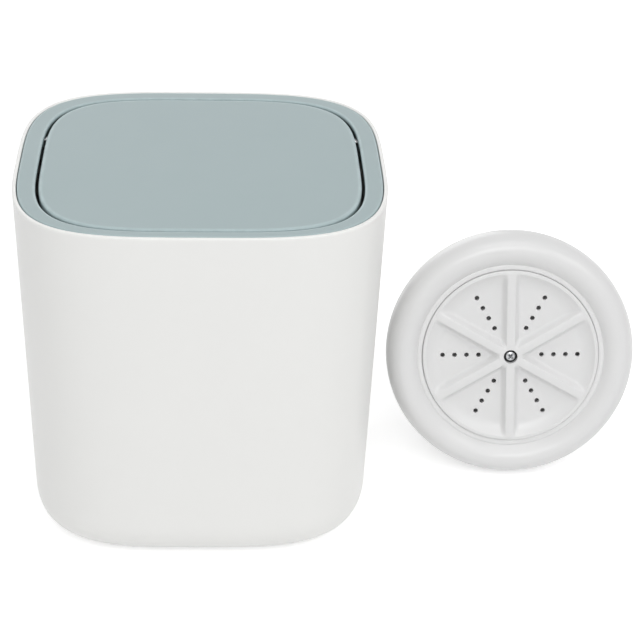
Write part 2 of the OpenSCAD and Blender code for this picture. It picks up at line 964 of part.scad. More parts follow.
module drive_shaft() {
    flat = 0.5;
    shaft_end = hub_seat - 0.3;
    shaft_bottom = motor_top - 1;
    color(steel)
    stand()
    difference() {
        translate([0, 0, shaft_bottom])
        cylinder(r = shaft_radius, h = shaft_end - shaft_bottom);
        translate([-2 * shaft_radius, shaft_radius - flat, hub_bottom])
        cube([4 * shaft_radius, shaft_radius, hub_grip + eps]);
        translate([0, 0, shaft_end - hub_screw_length - 1])
        cylinder(r = hub_screw_radius + press_gap, h = hub_screw_length + 1 + eps);
    }
}

module upper_bearing() {
    color(steel)
    stand()
    translate([0, 0, bearing_bottom])
    difference() {
        ring(bearing_radius - press_gap, shaft_radius + shaft_play, bearing_width);
        for (z = [-groove_depth, bearing_width - groove_depth])
            translate([0, 0, z])
            ring(bearing_radius - groove_land, shaft_radius + 1, 2 * groove_depth);
    }
}

module lower_bush() {
    color(brass)
    stand()
    translate([0, 0, motor_top])
    union() {
        ring(bush_radius, shaft_radius + shaft_play, plate_thickness + bush_flange);
        translate([0, 0, plate_thickness])
        ring(bush_flange_radius, shaft_radius + shaft_play, bush_flange);
    }
}

module shaft_seal() {
    color(dark_rubber)
    stand()
    translate([0, 0, shoulder_top])
    difference() {
        ring(bearing_radius - press_gap, shaft_radius + shaft_play, seal_width);
        translate([0, 0, seal_width - 3 * groove_depth])
        ring(bearing_radius - groove_land, shaft_radius + 1, 4 * groove_depth);
    }
}

// washer unit: supply

module control_board() {
    color(board_green)
    stand()
    translate([board_in, -board_width / 2, board_z])
    cube([board_out - board_in, board_width, board_thickness]);
}

// One part on the board: a point on the board, then its size
module on_board(x, y, size) {
    translate([board_in + x, y, board_z + board_thickness])
    cube(size);
}

module board_parts() {
    color(dark_plastic)
    stand()
    union() {
        translate([board_in + 6, -board_width / 4, board_z + board_thickness])
        cylinder(r = 4, h = 10);
        on_board(3, board_width / 8, [7, 7, 6]);
        on_board(15, -3, [6, 6, 1.4]);
        on_board(14, board_width / 4 - 0.5, [10, 5, 4]);
        on_board(board_out - board_in - 7, -0.375 * board_width, [5, 0.75 * board_width, 5]);
    }
}

module cable_gland() {
    outer = gland_wall_r + 3;
    inner = gland_wall_r - washer_wall - 4;
    color(dark_rubber)
    stand()
    translate([inner, 0, gland_z])
    rotate([0, 90, 0])
    union() {
        ring(gland_radius, gland_bore, outer - inner);
        for (z = [0, outer - inner - gland_flange])
            translate([0, 0, z])
            ring(gland_radius + 1, gland_bore, gland_flange);
    }
}

// washer unit: pulsator

// Height of the dish above its floor at radius r
function dish_lift(r) =
    let (u = min(1, max(0, (r - dish_flat) / (rim_in - dish_flat))))
    dish_rise * u * u;

function dish_profile() = concat(
    [
        [shaft_radius + press_gap, hub_bottom],
        [sleeve_radius, hub_bottom],
        [sleeve_radius, dish_under]
    ],
    [for (r = dish_radii) [r, dish_under + dish_lift(r)]],
    [
        [pulsator_radius - rim_wall, dish_under + dish_rise],
        [pulsator_radius - rim_wall, skirt_bottom],
        [pulsator_radius, skirt_bottom]
    ],
    arc(pulsator_radius - rim_round, rim_top - rim_round, rim_round, rim_round, 0, 90, 5),
    [for (i = [dish_steps : -1 : 0]) [dish_radii[i], dish_top + dish_lift(dish_radii[i])]],
    arc(hub_foot, hub_top - hub_round, hub_foot - hub_radius, hub_top - hub_round - dish_top, 270, 180, 8),
    [
        [hub_radius - hub_round, hub_top],
        [well_radius, hub_top],
        [well_radius, well_floor],
        [hub_screw_radius + screw_gap, well_floor],
        [hub_screw_radius + screw_gap, hub_seat],
        [shaft_radius + press_gap, hub_seat]
    ]
);

// Space that the ribs keep within: falling a little to the rim and into it
function rib_envelope() = [
    [well_radius, dish_top - rib_root],
    [dish_flat, dish_top - rib_root],
    [rim_in, rim_top - 1.5 * rib_root],
    [rib_end, rim_top - rib_root],
    [rib_end, rim_top - rib_root / 3],
    [rim_in, rim_top + rib_root / 3],
    [well_radius, rib_top]
];

// Half of a rib's cross-section, from its root inside the dish to its crest
function rib_half() = concat(
    [[rib_foot / 2 + rib_fillet, dish_top - rib_root]],
    arc(rib_foot / 2 + rib_fillet, dish_top + rib_fillet, rib_fillet, rib_fillet, 270, 200, 4),
    arc(0, rib_top - rib_crown, rib_crest / 2, rib_crown, 10, 90, 5)
);

function rib_section() = concat(
    rib_half(),
    let (half = rib_half()) [for (i = [len(half) - 2 : -1 : 0]) [-half[i][0], half[i][1]]]
);

module pulsator() {
    color(shell_white)
    stand()
    difference() {
        union() {
            rotate_extrude()
            polygon(dish_profile());
            intersection() {
                rotate_extrude()
                polygon(rib_envelope());
                for (i = [0 : rib_count - 1])
                    rotate([0, 0, rib_start + 360 * i / rib_count])
                    rotate([90, 0, 90])
                    linear_extrude(pulsator_radius)
                    polygon(rib_section());
            }
        }
        translate([0, 0, well_floor])
        cylinder(r = well_radius, h = rib_height + dish_wall);
        for (i = [0 : rib_count - 1], j = [0 : row_holes - 1])
            rotate([0, 0, rib_start + (i + 0.5) * 360 / rib_count])
            translate([hole_start + hole_step * j, 0, dish_under - eps])
            cylinder(r = hole_diameter / 2, h = dish_wall + dish_rise + eps);
    }
}

module screw_washer() {
    color(dark_rubber)
    stand()
    translate([0, 0, well_floor])
    ring(well_radius - screw_gap, hub_screw_radius + screw_gap, washer_thickness);
}

module pulsator_screw() {
    color(steel)
    stand()
    translate([0, 0, well_floor + washer_thickness])
    mirror([0, 0, 1])
    screw(hub_screw_radius, hub_screw_radius + 1.1, 1.8, hub_screw_length);
}

tub();
lid_frame();
lid_flap();
pivot_pins();
top_housing();
base_housing();
housing_seal();
housing_screws();
gear_plate();
plate_screws();
motor_can();
motor_cap();
motor_screws();
upper_bearing();
lower_bush();
shaft_seal();
control_board();
board_parts();
cable_gland();
suction_cups();
drive_shaft();
drive_gear();
pulsator();
pulsator_screw();
screw_washer();
motor_shaft();
motor_pinion();
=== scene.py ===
"""Looks of a portable mini washer: a lidded wash tub and the turbine unit beside it."""

import functools
import json
import math
from types import SimpleNamespace
from typing import NamedTuple

import bmesh
import bpy
import numpy as np
from bpy.props import FloatProperty, FloatVectorProperty, IntProperty, PointerProperty
from bpy.types import Operator, Panel, PropertyGroup
from mathutils import Matrix, Vector


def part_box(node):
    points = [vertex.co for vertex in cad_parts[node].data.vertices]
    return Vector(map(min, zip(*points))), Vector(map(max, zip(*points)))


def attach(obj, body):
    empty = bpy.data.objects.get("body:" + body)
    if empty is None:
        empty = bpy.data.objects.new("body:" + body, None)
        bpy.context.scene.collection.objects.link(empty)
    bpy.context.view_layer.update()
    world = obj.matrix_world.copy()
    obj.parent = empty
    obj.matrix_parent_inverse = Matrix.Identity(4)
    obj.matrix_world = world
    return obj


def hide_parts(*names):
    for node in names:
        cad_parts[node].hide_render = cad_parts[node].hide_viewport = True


bl_info = {
    "name": "Portable mini washer",
    "version": (1, 0, 0),
    "blender": (4, 5, 0),
    "location": "3D View > Sidebar > Mini washer",
    "description": "Builds the wash tub, its lid and the turbine unit on their packed frame",
    "category": "Object",
}

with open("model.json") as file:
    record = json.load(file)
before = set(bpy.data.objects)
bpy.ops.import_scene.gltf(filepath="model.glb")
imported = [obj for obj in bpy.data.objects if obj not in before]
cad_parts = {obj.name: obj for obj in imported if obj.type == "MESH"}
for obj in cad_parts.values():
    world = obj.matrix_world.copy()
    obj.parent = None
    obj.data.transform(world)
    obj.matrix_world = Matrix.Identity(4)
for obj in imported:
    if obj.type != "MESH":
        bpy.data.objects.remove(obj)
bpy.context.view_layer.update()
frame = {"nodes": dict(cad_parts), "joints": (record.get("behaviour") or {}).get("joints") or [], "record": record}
MM = 0.001
WHITE = (1.0, 1.0, 1.0, 1.0)
SHARP = 35.0  # edges that turn by more degrees than this stay sharp
TUB_LOW, TUB_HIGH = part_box("tub")


def joint(name):
    """The record's joint of that name."""
    return next(j for j in frame["joints"] if j["name"] == name)


# Settings


def number(name, description, default, **kind):
    """A number, with its unit or subtype where one fits."""
    return FloatProperty(name=name, description=description, default=default, **kind)


def length(name, description, default):
    """A size in metres."""
    return number(
        name, description, default, min=0.0, precision=5, unit="LENGTH", subtype="DISTANCE"
    )


def angle(name, description, degrees):
    """An angle, given in degrees."""
    return number(name, description, math.radians(degrees), subtype="ANGLE")


def count(name, description, default):
    """A whole number."""
    return IntProperty(name=name, description=description, default=default)


def vector(name, description, default, subtype, **limits):
    """Three numbers that belong together."""
    return FloatVectorProperty(
        name=name, description=description, default=default, size=3, subtype=subtype, **limits
    )


def colour(name, description, default):
    """A linear colour."""
    return vector(name, description, default, "COLOR", min=0.0, max=1.0)


class TubSizes(PropertyGroup):
    """Sizes of the wash tub."""

    rim_width: length("Rim width", "Outer width across the rim", TUB_HIGH.x - TUB_LOW.x)
    height: length("Height", "Height from the ground to the rim", TUB_HIGH.z)
    base_width: length("Base width", "Outer width above the rounded bottom edge", 0.178)
    bottom_radius: length("Bottom radius", "Radius of the rounded bottom edge", 0.021)
    wall: length("Wall", "Thickness of wall and floor", 0.0028)
    lip: length("Lip", "Thickness of the lip around the lid", 0.002)
    rebate: length("Rebate", "Depth of the rebate for the lid frame", 0.0065)
    foot_ring: length("Foot ring", "Width of the ring that the tub stands on", 0.009)
    foot_recess: length("Foot recess", "Height of the hollow under the floor", 0.001)
    squareness: number("Squareness", "Power of the rounded-square outline", 3.7)
    around: count("Points around", "Points around each section", 256)

    def slope(self):
        """How far the side leans out for each metre of height."""
        return (self.rim_width / 2 - self.base_width / 2) / (self.height - self.bottom_radius)

    def inside(self, z):
        """Half width of the tub's inside at a height."""
        return self.base_width / 2 + self.slope() * (z - self.bottom_radius) - self.wall


class LidSizes(PropertyGroup):
    """Sizes of the lid frame and its flap."""

    clearance: length("Clearance", "Gap between the frame and the tub", 0.0004)
    side: length("Side", "Width of the frame's top at the sides", 0.0093)
    front: length("Front", "Width of the frame's top at the front", 0.0059)
    rear: length("Rear", "Width of the frame's top at the rear", 0.0085)
    plate: length("Plate", "Thickness of the frame's top", 0.0026)
    depth: length("Depth", "Depth of the frame's skirt below the rim", 0.022)
    skirt: length("Skirt", "Thickness of the frame's skirt", 0.0018)
    gap: length("Gap", "Gap between frame and flap", 0.0016)
    flap_plate: length("Flap plate", "Thickness of the flap's top", 0.0022)
    flap_rim: length("Flap rim", "Depth of the flap's rim below its top", 0.008)
    flap_wall: length("Flap wall", "Thickness of the flap's rim", 0.0016)
    pin_radius: length("Pin radius", "Radius of the pivot pins", 0.002)
    squareness: number("Squareness", "Power of the flap's outline", 3.9)


class UnitSizes(PropertyGroup):
    """Sizes of the turbine unit, with heights from the plane that its cups hold."""

    radius: length("Radius", "Largest radius of the unit", 0.0685)
    height: length("Height", "Height of the ring's crest", 0.0645)
    shoulder_reach: length("Shoulder reach", "From the crest out to the widest", 0.009)
    shoulder_height: length("Shoulder height", "From the widest up to the crest", 0.0145)
    fullness: number("Fullness", "Power of the shoulder's curve, where 2 is an ellipse", 2.2)
    draft: angle("Draft", "Taper of the base's side", 13)
    wall: length("Wall", "Thickness of both shells", 0.0024)
    joint_height: length("Joint height", "Height of the joint between the shells", 0.04)
    slope_width: length("Slope width", "Width of the slope inside the crest", 0.008)
    slope_fall: length("Slope fall", "Fall of the slope inside the crest", 0.0046)
    bead_width: length("Bead width", "Width of the bead around the pulsator", 0.0028)
    bead_rise: length("Bead rise", "Height of the bead", 0.0004)
    recess_floor: length("Recess floor", "Height of the floor under the pulsator", 0.0489)
    sleeve_radius: length("Sleeve radius", "Radius of the shaft's sleeve", 0.0087)
    sleeve_top: length("Sleeve top", "Height of the sleeve's upper end", 0.0519)
    sleeve_bottom: length("Sleeve bottom", "Height of the sleeve's lower end", 0.043)
    bearing_radius: length("Bearing radius", "Radius of the sleeve's bore", 0.0065)
    cup_height: length("Cup height", "Height of the base above the held plane", 0.008)
    cup_radius: length("Cup radius", "Radius of a suction cup", 0.014)
    cup_circle: length("Cup circle", "Distance of the cups from the axis", 0.041429)
    stem_radius: length("Stem radius", "Radius of a cup's stem", 0.004)


class PulsatorSizes(PropertyGroup):
    """Sizes of the pulsator, with heights from the plane that the cups hold."""

    radius: length("Radius", "Outer radius", 0.0485)
    floor: length("Floor", "Height of the dish's floor", 0.0576)
    wall: length("Wall", "Thickness of the dish", 0.0022)
    rise: length("Rise", "Rise of the dish to its rim", 0.0038)
    rib_height: length("Rib height", "Height of the ribs at the hub", 0.0048)
    rib_crest: length("Rib crest", "Half width of a rib's crest", 0.0023)
    rib_foot: length("Rib foot", "Half width of a rib at the end of its fillet", 0.0055)
    well_radius: length("Well radius", "Radius of the screw's well", 0.0038)
    well_floor: length("Well floor", "Height of the well's floor", 0.0588)
    hub_seat: length("Hub seat", "Height of the shaft's bore", 0.057)
    hub_bottom: length("Hub bottom", "Height of the hub's lower end", 0.0525)
    hub_radius: length("Hub radius", "Radius of the hub's crown", 0.0062)
    hub_foot: length("Hub foot", "Radius of the hub's flared foot", 0.0113)
    bore_radius: length("Bore radius", "Radius of the hub's bore", 0.00252)
    screw_hole: length("Screw hole", "Radius of the screw's hole in the hub", 0.0016)
    rib_count: count("Ribs", "Number of ribs and hole rows", 6)
    rib_start: angle("Rib start", "Direction of the first rib at rest", 92)
    row_holes: count("Holes", "Holes in each row", 4)
    hole_start: length("Hole start", "Distance of the innermost hole from the axis", 0.0174)
    hole_step: length("Hole step", "Distance from hole to hole", 0.00662)
    hole_radius: length("Hole radius", "Radius of a hole", 0.0013)


class Finishes(PropertyGroup):
    """Base colours of the finishes."""

    tub_plastic: colour("Tub plastic", "Warm white of the tub", (0.855, 0.855, 0.838))
    lid_plastic: colour("Lid plastic", "Grey blue of the lid", (0.360, 0.445, 0.456))
    shell_plastic: colour("Shell plastic", "Cool white of the unit", (0.755, 0.755, 0.755))
    steel: colour("Steel", "Bright steel", (0.56, 0.57, 0.58))
    dark_rubber: colour("Dark rubber", "Black rubber", (0.016, 0.016, 0.017))
    clear_rubber: colour("Clear rubber", "Milky silicone", (0.62, 0.65, 0.67))
    dark_plastic: colour("Dark plastic", "Black plastic", (0.022, 0.022, 0.024))
    board: colour("Board", "Green solder mask", (0.012, 0.085, 0.034))
    nylon: colour("Nylon", "Natural nylon", (0.82, 0.78, 0.66))
    brass: colour("Brass", "Turned brass", (0.64, 0.43, 0.13))


class StageSettings(PropertyGroup):
    """Camera, lamps and floor."""

    eye: vector("Eye", "Place of the camera", (0.00647, -1.00021, 0.62372), "TRANSLATION")
    pitch: angle("Pitch", "Fall of the line of sight", 27.755)
    yaw: angle("Yaw", "Turn of the line of sight to the right", 3.29)
    roll: angle("Roll", "Turn of the picture about the line of sight", 1.721)
    lens: number("Lens", "Focal length in millimetres", 118.125)
    floor_colour: colour("Floor", "Colour of the floor", (0.90, 0.90, 0.90))
    sky: number("Sky", "Strength of the even light", 0.52)
    front: number("Front", "Power of the front lamp in watts", 12.0)
    right: number("Right", "Power of the right lamp in watts", 5.0)
    top: number("Top", "Power of the top lamp in watts", 5.5)
    back: number("Back", "Power of the back lamp in watts", 3.0)


# Node trees


def sign(operation, swapped=False):
    """A method that combines values in a Math node."""

    def combine(*values):
        return values[0].tree.maths(operation, *(values[::-1] if swapped else values))

    return combine


class Value:
    """A value in a node tree, for the usual signs, abs and math.floor."""

    def __init__(self, tree, socket):
        self.tree, self.socket = tree, socket

    __add__, __sub__, __rsub__ = sign("ADD"), sign("SUBTRACT"), sign("SUBTRACT", True)
    __mul__, __truediv__, __rtruediv__ = sign("MULTIPLY"), sign("DIVIDE"), sign("DIVIDE", True)
    __pow__, __abs__, __floor__ = sign("POWER"), sign("ABSOLUTE"), sign("FLOOR")


class Outputs:
    """A node's outputs, by name or place."""

    def __init__(self, tree, node):
        self.tree, self.node = tree, node

    def __getitem__(self, key):
        return Value(self.tree, self.node.outputs[key])


class Tree:
    """Short calls for building a node tree."""

    # Places of the factor, the two colours and the result on a Mix node
    factor, first, second, mixed = 0, 6, 7, 2

    def __init__(self, tree):
        self.tree = tree

    def feed(self, socket, value):
        """Links a value into a socket, or sets the socket's own value."""
        if isinstance(value, Value):
            self.tree.links.new(value.socket, socket)
        else:
            socket.default_value = value

    def add(self, kind, inputs=None, **settings):
        """The outputs of a new node, with its inputs given by name or place."""
        node = self.tree.nodes.new(kind)
        for key, value in settings.items():
            setattr(node, key, value)
        for key, value in (inputs or {}).items():
            self.feed(node.inputs[key], value)
        return Outputs(self, node)

    def maths(self, operation, *values):
        """The result of a Math node."""
        return self.add("ShaderNodeMath", dict(enumerate(values)), operation=operation)[0]

    def point(self, x, y, z):
        """A point from its three coordinates."""
        return self.add("ShaderNodeCombineXYZ", {"X": x, "Y": y, "Z": z})[0]

    def polar(self, turn, reach, z):
        """A point at a distance from the Z axis in one direction."""
        return self.point(self.maths("COSINE", turn) * reach, self.maths("SINE", turn) * reach, z)

    def painted(self, shape, given):
        """The end of a shape's nodes: its copies made real, and its material."""
        real = self.add("GeometryNodeRealizeInstances", {"Geometry": shape})[0]
        inputs = {"Geometry": real, "Material": given["Material"]}
        return {"Geometry": self.add("GeometryNodeSetMaterial", inputs)[0]}

    def group(self, group, **inputs):
        """The outputs of a placed shader group."""
        return self.add("ShaderNodeGroup", inputs, node_tree=group)

    def blend(self, factor, first, second):
        """A colour mixed by a factor."""
        inputs = {self.factor: factor, self.first: first, self.second: second}
        return self.add("ShaderNodeMix", inputs, data_type="RGBA")[self.mixed]

    def object_point(self):
        """The point on the piece."""
        return self.add("ShaderNodeTexCoord")["Object"]

    def noise(self, point, scale, detail=2.0, roughness=0.5):
        """A noise value from 0 to 1."""
        inputs = {"Vector": point, "Scale": scale, "Detail": detail, "Roughness": roughness}
        return self.add("ShaderNodeTexNoise", inputs)[0]

    def stretched(self, point, scale):
        """The point with each coordinate scaled."""
        return self.add("ShaderNodeMapping", {"Vector": point, "Scale": scale})[0]

    def seen(self):
        """1 for a camera, glossy or transmission ray, and 0 for other rays."""
        rays = self.add("ShaderNodeLightPath")
        direct = self.maths("MAXIMUM", rays["Is Camera Ray"], rays["Is Glossy Ray"])
        return self.maths("MAXIMUM", direct, rays["Is Transmission Ray"])


def node_group(name, kind, inputs, outputs):
    """Makes a function that lays out nodes give their group, built on its first use."""

    def given_by(lay_out):
        @functools.wraps(lay_out)
        def group():
            if name not in bpy.data.node_groups:
                made = bpy.data.node_groups.new(name, kind)
                for side, sockets in (("INPUT", inputs), ("OUTPUT", outputs)):
                    for label, form in sockets.items():
                        form = f"NodeSocket{form}"
                        made.interface.new_socket(label, in_out=side, socket_type=form)
                tree = Tree(made)
                tree.add("NodeGroupOutput", lay_out(tree, tree.add("NodeGroupInput")))
            return bpy.data.node_groups[name]

        return group

    return given_by


def shape_group(name, **inputs):
    """The same for Geometry Nodes, which end in a painted shape."""
    sockets = {label.replace("_", " "): form for label, form in inputs.items()}
    sockets["Material"] = "Material"
    return node_group(name, "GeometryNodeTree", sockets, {"Geometry": "Geometry"})


def shader_group(name, inputs, outputs):
    """The same for an effect on a surface, whose sockets are plain numbers."""
    sockets = (dict.fromkeys(labels, "Float") for labels in (inputs, outputs))
    return node_group(name, "ShaderNodeTree", *sockets)


@shape_group("Section loft", Profile="Geometry", Points_around="Int", Weld="Float")
def section_loft(tree, given):
    """Skin over rounded-square or round sections, one for each profile point."""
    profile, around = given["Profile"], given["Points around"]
    columns = around + 1
    size = tree.add("GeometryNodeAttributeDomainSize", {"Geometry": profile}, component="MESH")
    grid = tree.add(
        "GeometryNodeMeshGrid", {"Vertices X": size["Point Count"], "Vertices Y": columns}
    )
    index = tree.add("GeometryNodeInputIndex")[0]
    ring = math.floor((index + 0.5) / columns)
    turn = (index - ring * columns) * math.tau / around
    on_points = {"data_type": "FLOAT", "domain": "POINT"}

    def sampled(name):
        field = tree.add("GeometryNodeInputNamedAttribute", {"Name": name}, data_type="FLOAT")
        inputs = {"Geometry": profile, "Value": field[0], "Index": ring}
        return tree.add("GeometryNodeSampleIndex", inputs, **on_points)[0]

    power = sampled("squareness")
    across, along = tree.maths("COSINE", turn), tree.maths("SINE", turn)
    reach = (abs(across) ** power + abs(along) ** power) ** (-1.0 / power)
    x = reach * across * sampled("half_x")
    y = reach * along * sampled("half_y") + sampled("shift")
    marked = tree.add(
        "GeometryNodeStoreNamedAttribute",
        {"Geometry": grid["Mesh"], "Name": "edge", "Value": sampled("edge")}, **on_points,
    )
    place = tree.point(x, y, sampled("height"))
    skin = tree.add("GeometryNodeSetPosition", {"Geometry": marked[0], "Position": place})
    welded = tree.add(
        "GeometryNodeMergeByDistance", {"Geometry": skin[0], "Distance": given["Weld"]}
    )
    return tree.painted(welded[0], given)


@shape_group("Ring of copies", Piece="Geometry", Count="Int", Circle="Float", Start="Float")
def ring_of_copies(tree, given):
    """Copies of a piece around an axis."""
    index = tree.add("GeometryNodeInputIndex")[0]
    turn = index * (math.tau / given["Count"]) + given["Start"]
    place = tree.polar(turn, given["Circle"], 0.0)
    points = tree.add("GeometryNodePoints", {"Count": given["Count"], "Position": place})
    copies = tree.add(
        "GeometryNodeInstanceOnPoints",
        {"Points": points[0], "Instance": given["Piece"], "Rotation": tree.point(0.0, 0.0, turn)},
    )
    return tree.painted(copies[0], given)


@shape_group(
    "Perforation", Dish="Geometry", Rows="Int", Holes="Int", First="Float", Step="Float",
    Radius="Float", Height="Float", Depth="Float", Start="Float",
)
def perforation(tree, given):
    """Rows of round holes cut along the axis through a dish."""
    sides = 28
    rows, holes = given["Rows"], given["Holes"]
    index = tree.add("GeometryNodeInputIndex")[0]
    row = math.floor((index + 0.5) / holes)
    turn = row * (math.tau / rows) + given["Start"]
    reach = (index - row * holes) * given["Step"] + given["First"]
    place = tree.polar(turn, reach, given["Height"])
    points = tree.add("GeometryNodePoints", {"Count": rows * holes, "Position": place})
    drill = tree.add(
        "GeometryNodeMeshCylinder",
        {"Vertices": sides, "Radius": given["Radius"], "Depth": given["Depth"]},
    )
    drills = tree.add(
        "GeometryNodeInstanceOnPoints", {"Points": points[0], "Instance": drill["Mesh"]}
    )
    tools = tree.add("GeometryNodeRealizeInstances", {"Geometry": drills[0]})
    cut = tree.add(
        "GeometryNodeMeshBoolean", {"Mesh 1": given["Dish"], "Mesh 2": tools[0]},
        operation="DIFFERENCE", solver="EXACT",
    )
    return tree.painted(cut[0], given)


def run_nodes(obj, group, **inputs):
    """Sets a node modifier's inputs, evaluates it and leaves its result as a plain mesh."""
    modifier = obj.modifiers.new(group.name, "NODES")
    modifier.node_group = group
    sockets = {item.name: item.identifier for item in group.interface.items_tree
               if item.in_out == "INPUT"}
    for key, value in inputs.items():
        modifier[sockets[key.replace("_", " ")]] = value
    return settle(obj)


def settle(obj):
    """Turns an object's modifiers into its plain mesh."""
    bpy.context.view_layer.update()
    depsgraph = bpy.context.evaluated_depsgraph_get()
    mesh = bpy.data.meshes.new_from_object(
        obj.evaluated_get(depsgraph), preserve_all_data_layers=True, depsgraph=depsgraph
    )
    obj.modifiers.clear()
    old, obj.data = obj.data, mesh
    bpy.data.meshes.remove(old)
    mesh.name = obj.name
    if not mesh.polygons:
        raise RuntimeError(f"{obj.name} came out empty")
    return obj


# Surface effects shared by the finishes


@shader_group("Moulded skin", ("Grain", "Flow", "Mottle"), ("Height", "Mottle"))
def moulded_skin(tree, given):
    """Fine mould texture, slow flow marks and mottle of a moulded surface."""
    point = tree.object_point()
    grain = tree.noise(point, given["Grain"], 3.0, 0.6)
    flow = tree.noise(point, given["Flow"], 1.0)
    flow_share = 0.6
    mottle = tree.noise(point, given["Mottle"], 4.0, 0.55)
    return {"Height": grain + flow * flow_share, "Mottle": mottle}


@shader_group("Handling marks", ("Roughness", "Spread", "Scale"), ("Roughness",))
def handling_marks(tree, given):
    """Roughness that varies with wiped and touched places."""
    point, scale = tree.object_point(), given["Scale"]
    finer, wiped_share, middle = 4.0, 0.5, 0.75
    broad = tree.noise(point, scale, 3.0, 0.6)
    wiped = tree.noise(tree.stretched(point, (1.0, 1.0, 9.0)), scale * finer)
    centred = broad + wiped * wiped_share - middle
    return {"Roughness": given["Roughness"] + centred * given["Spread"]}


@shader_group("Polished edges", ("Amount", "Scale"), ("Mask",))
def worn_and_highlit_edges(tree, given):
    """Mask of the marked rounded edges: wear from hands and stacking, and on the lid and the cups a painted
    highlight.
    """
    edge = tree.add("ShaderNodeAttribute", attribute_name="edge")["Fac"]
    broken = tree.noise(tree.object_point(), given["Scale"], 3.0, 0.6)
    return {"Mask": edge * broken * given["Amount"]}


@shader_group(
    "Tool lines", ("Scale", "Roughness", "Spread"), ("Height", "Roughness", "Tarnish")
)
def tool_lines(tree, given):
    """Fine lines left by drawing or turning, along the stretched axis."""
    point = tree.object_point()
    tarnish_scale, middle = 220.0, 0.5
    lines = tree.noise(tree.stretched(point, (0.08, 1.0, 1.0)), given["Scale"], 4.0, 0.7)
    return {
        "Height": lines,
        "Roughness": given["Roughness"] + (lines - middle) * given["Spread"],
        "Tarnish": tree.noise(point, tarnish_scale, 4.0, 0.6),
    }


# Finishes


class Finish(Tree):
    """The node tree of a new material."""

    def __init__(self, name):
        self.material = bpy.data.materials.new(name)
        self.material.use_nodes = True
        super().__init__(self.material.node_tree)

    def bump(self, height, strength, distance):
        """A normal from a height."""
        inputs = {"Height": height, "Strength": strength, "Distance": distance}
        return self.add("ShaderNodeBump", inputs)[0]

    def shaded(self, inputs):
        """The material, with these inputs on its Principled shader."""
        shader = self.tree.nodes["Principled BSDF"]
        for key, value in inputs.items():
            self.feed(shader.inputs[key], value)
        return self.material


def shade(value, factor):
    """A colour made lighter or darker, with alpha."""
    return [min(1.0, c * factor) for c in value] + [1.0]


def moulded_plastic(name, base, roughness, grain, depth, gloss, mottle, edge_wear_and_highlight):
    """Moulded plastic with mould texture, mottle, touched places and paler edges, which are wear and, on the lid,
    a painted highlight.
    """
    tree, smoother = Finish(name), 0.15
    skin = tree.group(moulded_skin(), Grain=grain, Flow=70.0, Mottle=9.0)
    marks = tree.group(handling_marks(), Roughness=roughness, Spread=0.10, Scale=18.0)
    edges = tree.group(worn_and_highlit_edges(), Amount=0.55, Scale=160.0)
    body = tree.blend(skin["Mottle"], shade(base, 1 - mottle), shade(base, 1 + mottle))
    return tree.shaded({
        # Paler marked edges: wear on tub and unit, a strong painted highlight on the lid
        "Base Color": tree.blend(edges["Mask"], body, shade(base, edge_wear_and_highlight)),
        "Roughness": marks["Roughness"] - edges["Mask"] * smoother,
        "Normal": tree.bump(skin["Height"], depth, 0.1 * MM),
        "IOR": 1.49,
        "Coat Weight": gloss,
        "Coat Roughness": 0.18,
    })


def metal(name, base, roughness):
    """Metal with tool lines and faint tarnish."""
    tree = Finish(name)
    lines = tree.group(tool_lines(), Scale=5200.0, Roughness=roughness, Spread=0.22)
    return tree.shaded({
        "Base Color": tree.blend(lines["Tarnish"], shade(base, 0.82), shade(base, 1.12)),
        "Roughness": lines["Roughness"],
        "Normal": tree.bump(lines["Height"], 0.12, 0.04 * MM),
        "Metallic": 1.0,
    })


def rubber(name, base, roughness, softness):
    """Rubber with a fine skin, rubbed places and paler edges, which are a painted highlight on the cups' ridges
    and lip.
    """
    tree = Finish(name)
    skin = tree.group(moulded_skin(), Grain=2600.0, Flow=120.0, Mottle=60.0)
    marks = tree.group(handling_marks(), Roughness=roughness, Spread=0.18, Scale=60.0)
    edges = tree.group(worn_and_highlit_edges(), Amount=1.4, Scale=60.0)
    body = tree.blend(skin["Mottle"], shade(base, 0.86), shade(base, 1.10))
    return tree.shaded({
        # Paler marked edges: a painted highlight on the cups' ridges and lip
        "Base Color": tree.blend(edges["Mask"], body, shade(base, 1.4)),
        "Roughness": marks["Roughness"],
        "Normal": tree.bump(skin["Height"], 0.18, 0.1 * MM),
        "IOR": 1.43,
        "Subsurface Weight": softness,
        "Subsurface Radius": (1.2 * MM, 1.2 * MM, 1.2 * MM),
    })


def circuit_board(name, base):
    """Green board with lighter copper runs under the mask."""
    tree = Finish(name)
    runs = tree.add("ShaderNodeTexBrick", {
        "Vector": tree.object_point(), "Scale": 60.0, "Mortar Size": 0.03, "Mortar Smooth": 0.1,
    })["Fac"]
    skin = tree.group(moulded_skin(), Grain=1800.0, Flow=90.0, Mottle=40.0)
    marks = tree.group(handling_marks(), Roughness=0.36, Spread=0.12, Scale=70.0)
    mask = tree.blend(skin["Mottle"], shade(base, 0.85), shade(base, 1.2))
    return tree.shaded({
        "Base Color": tree.blend(runs, mask, shade(base, 2.2)),
        "Roughness": marks["Roughness"],
        "Normal": tree.bump(runs, 0.2, 0.05 * MM),
    })


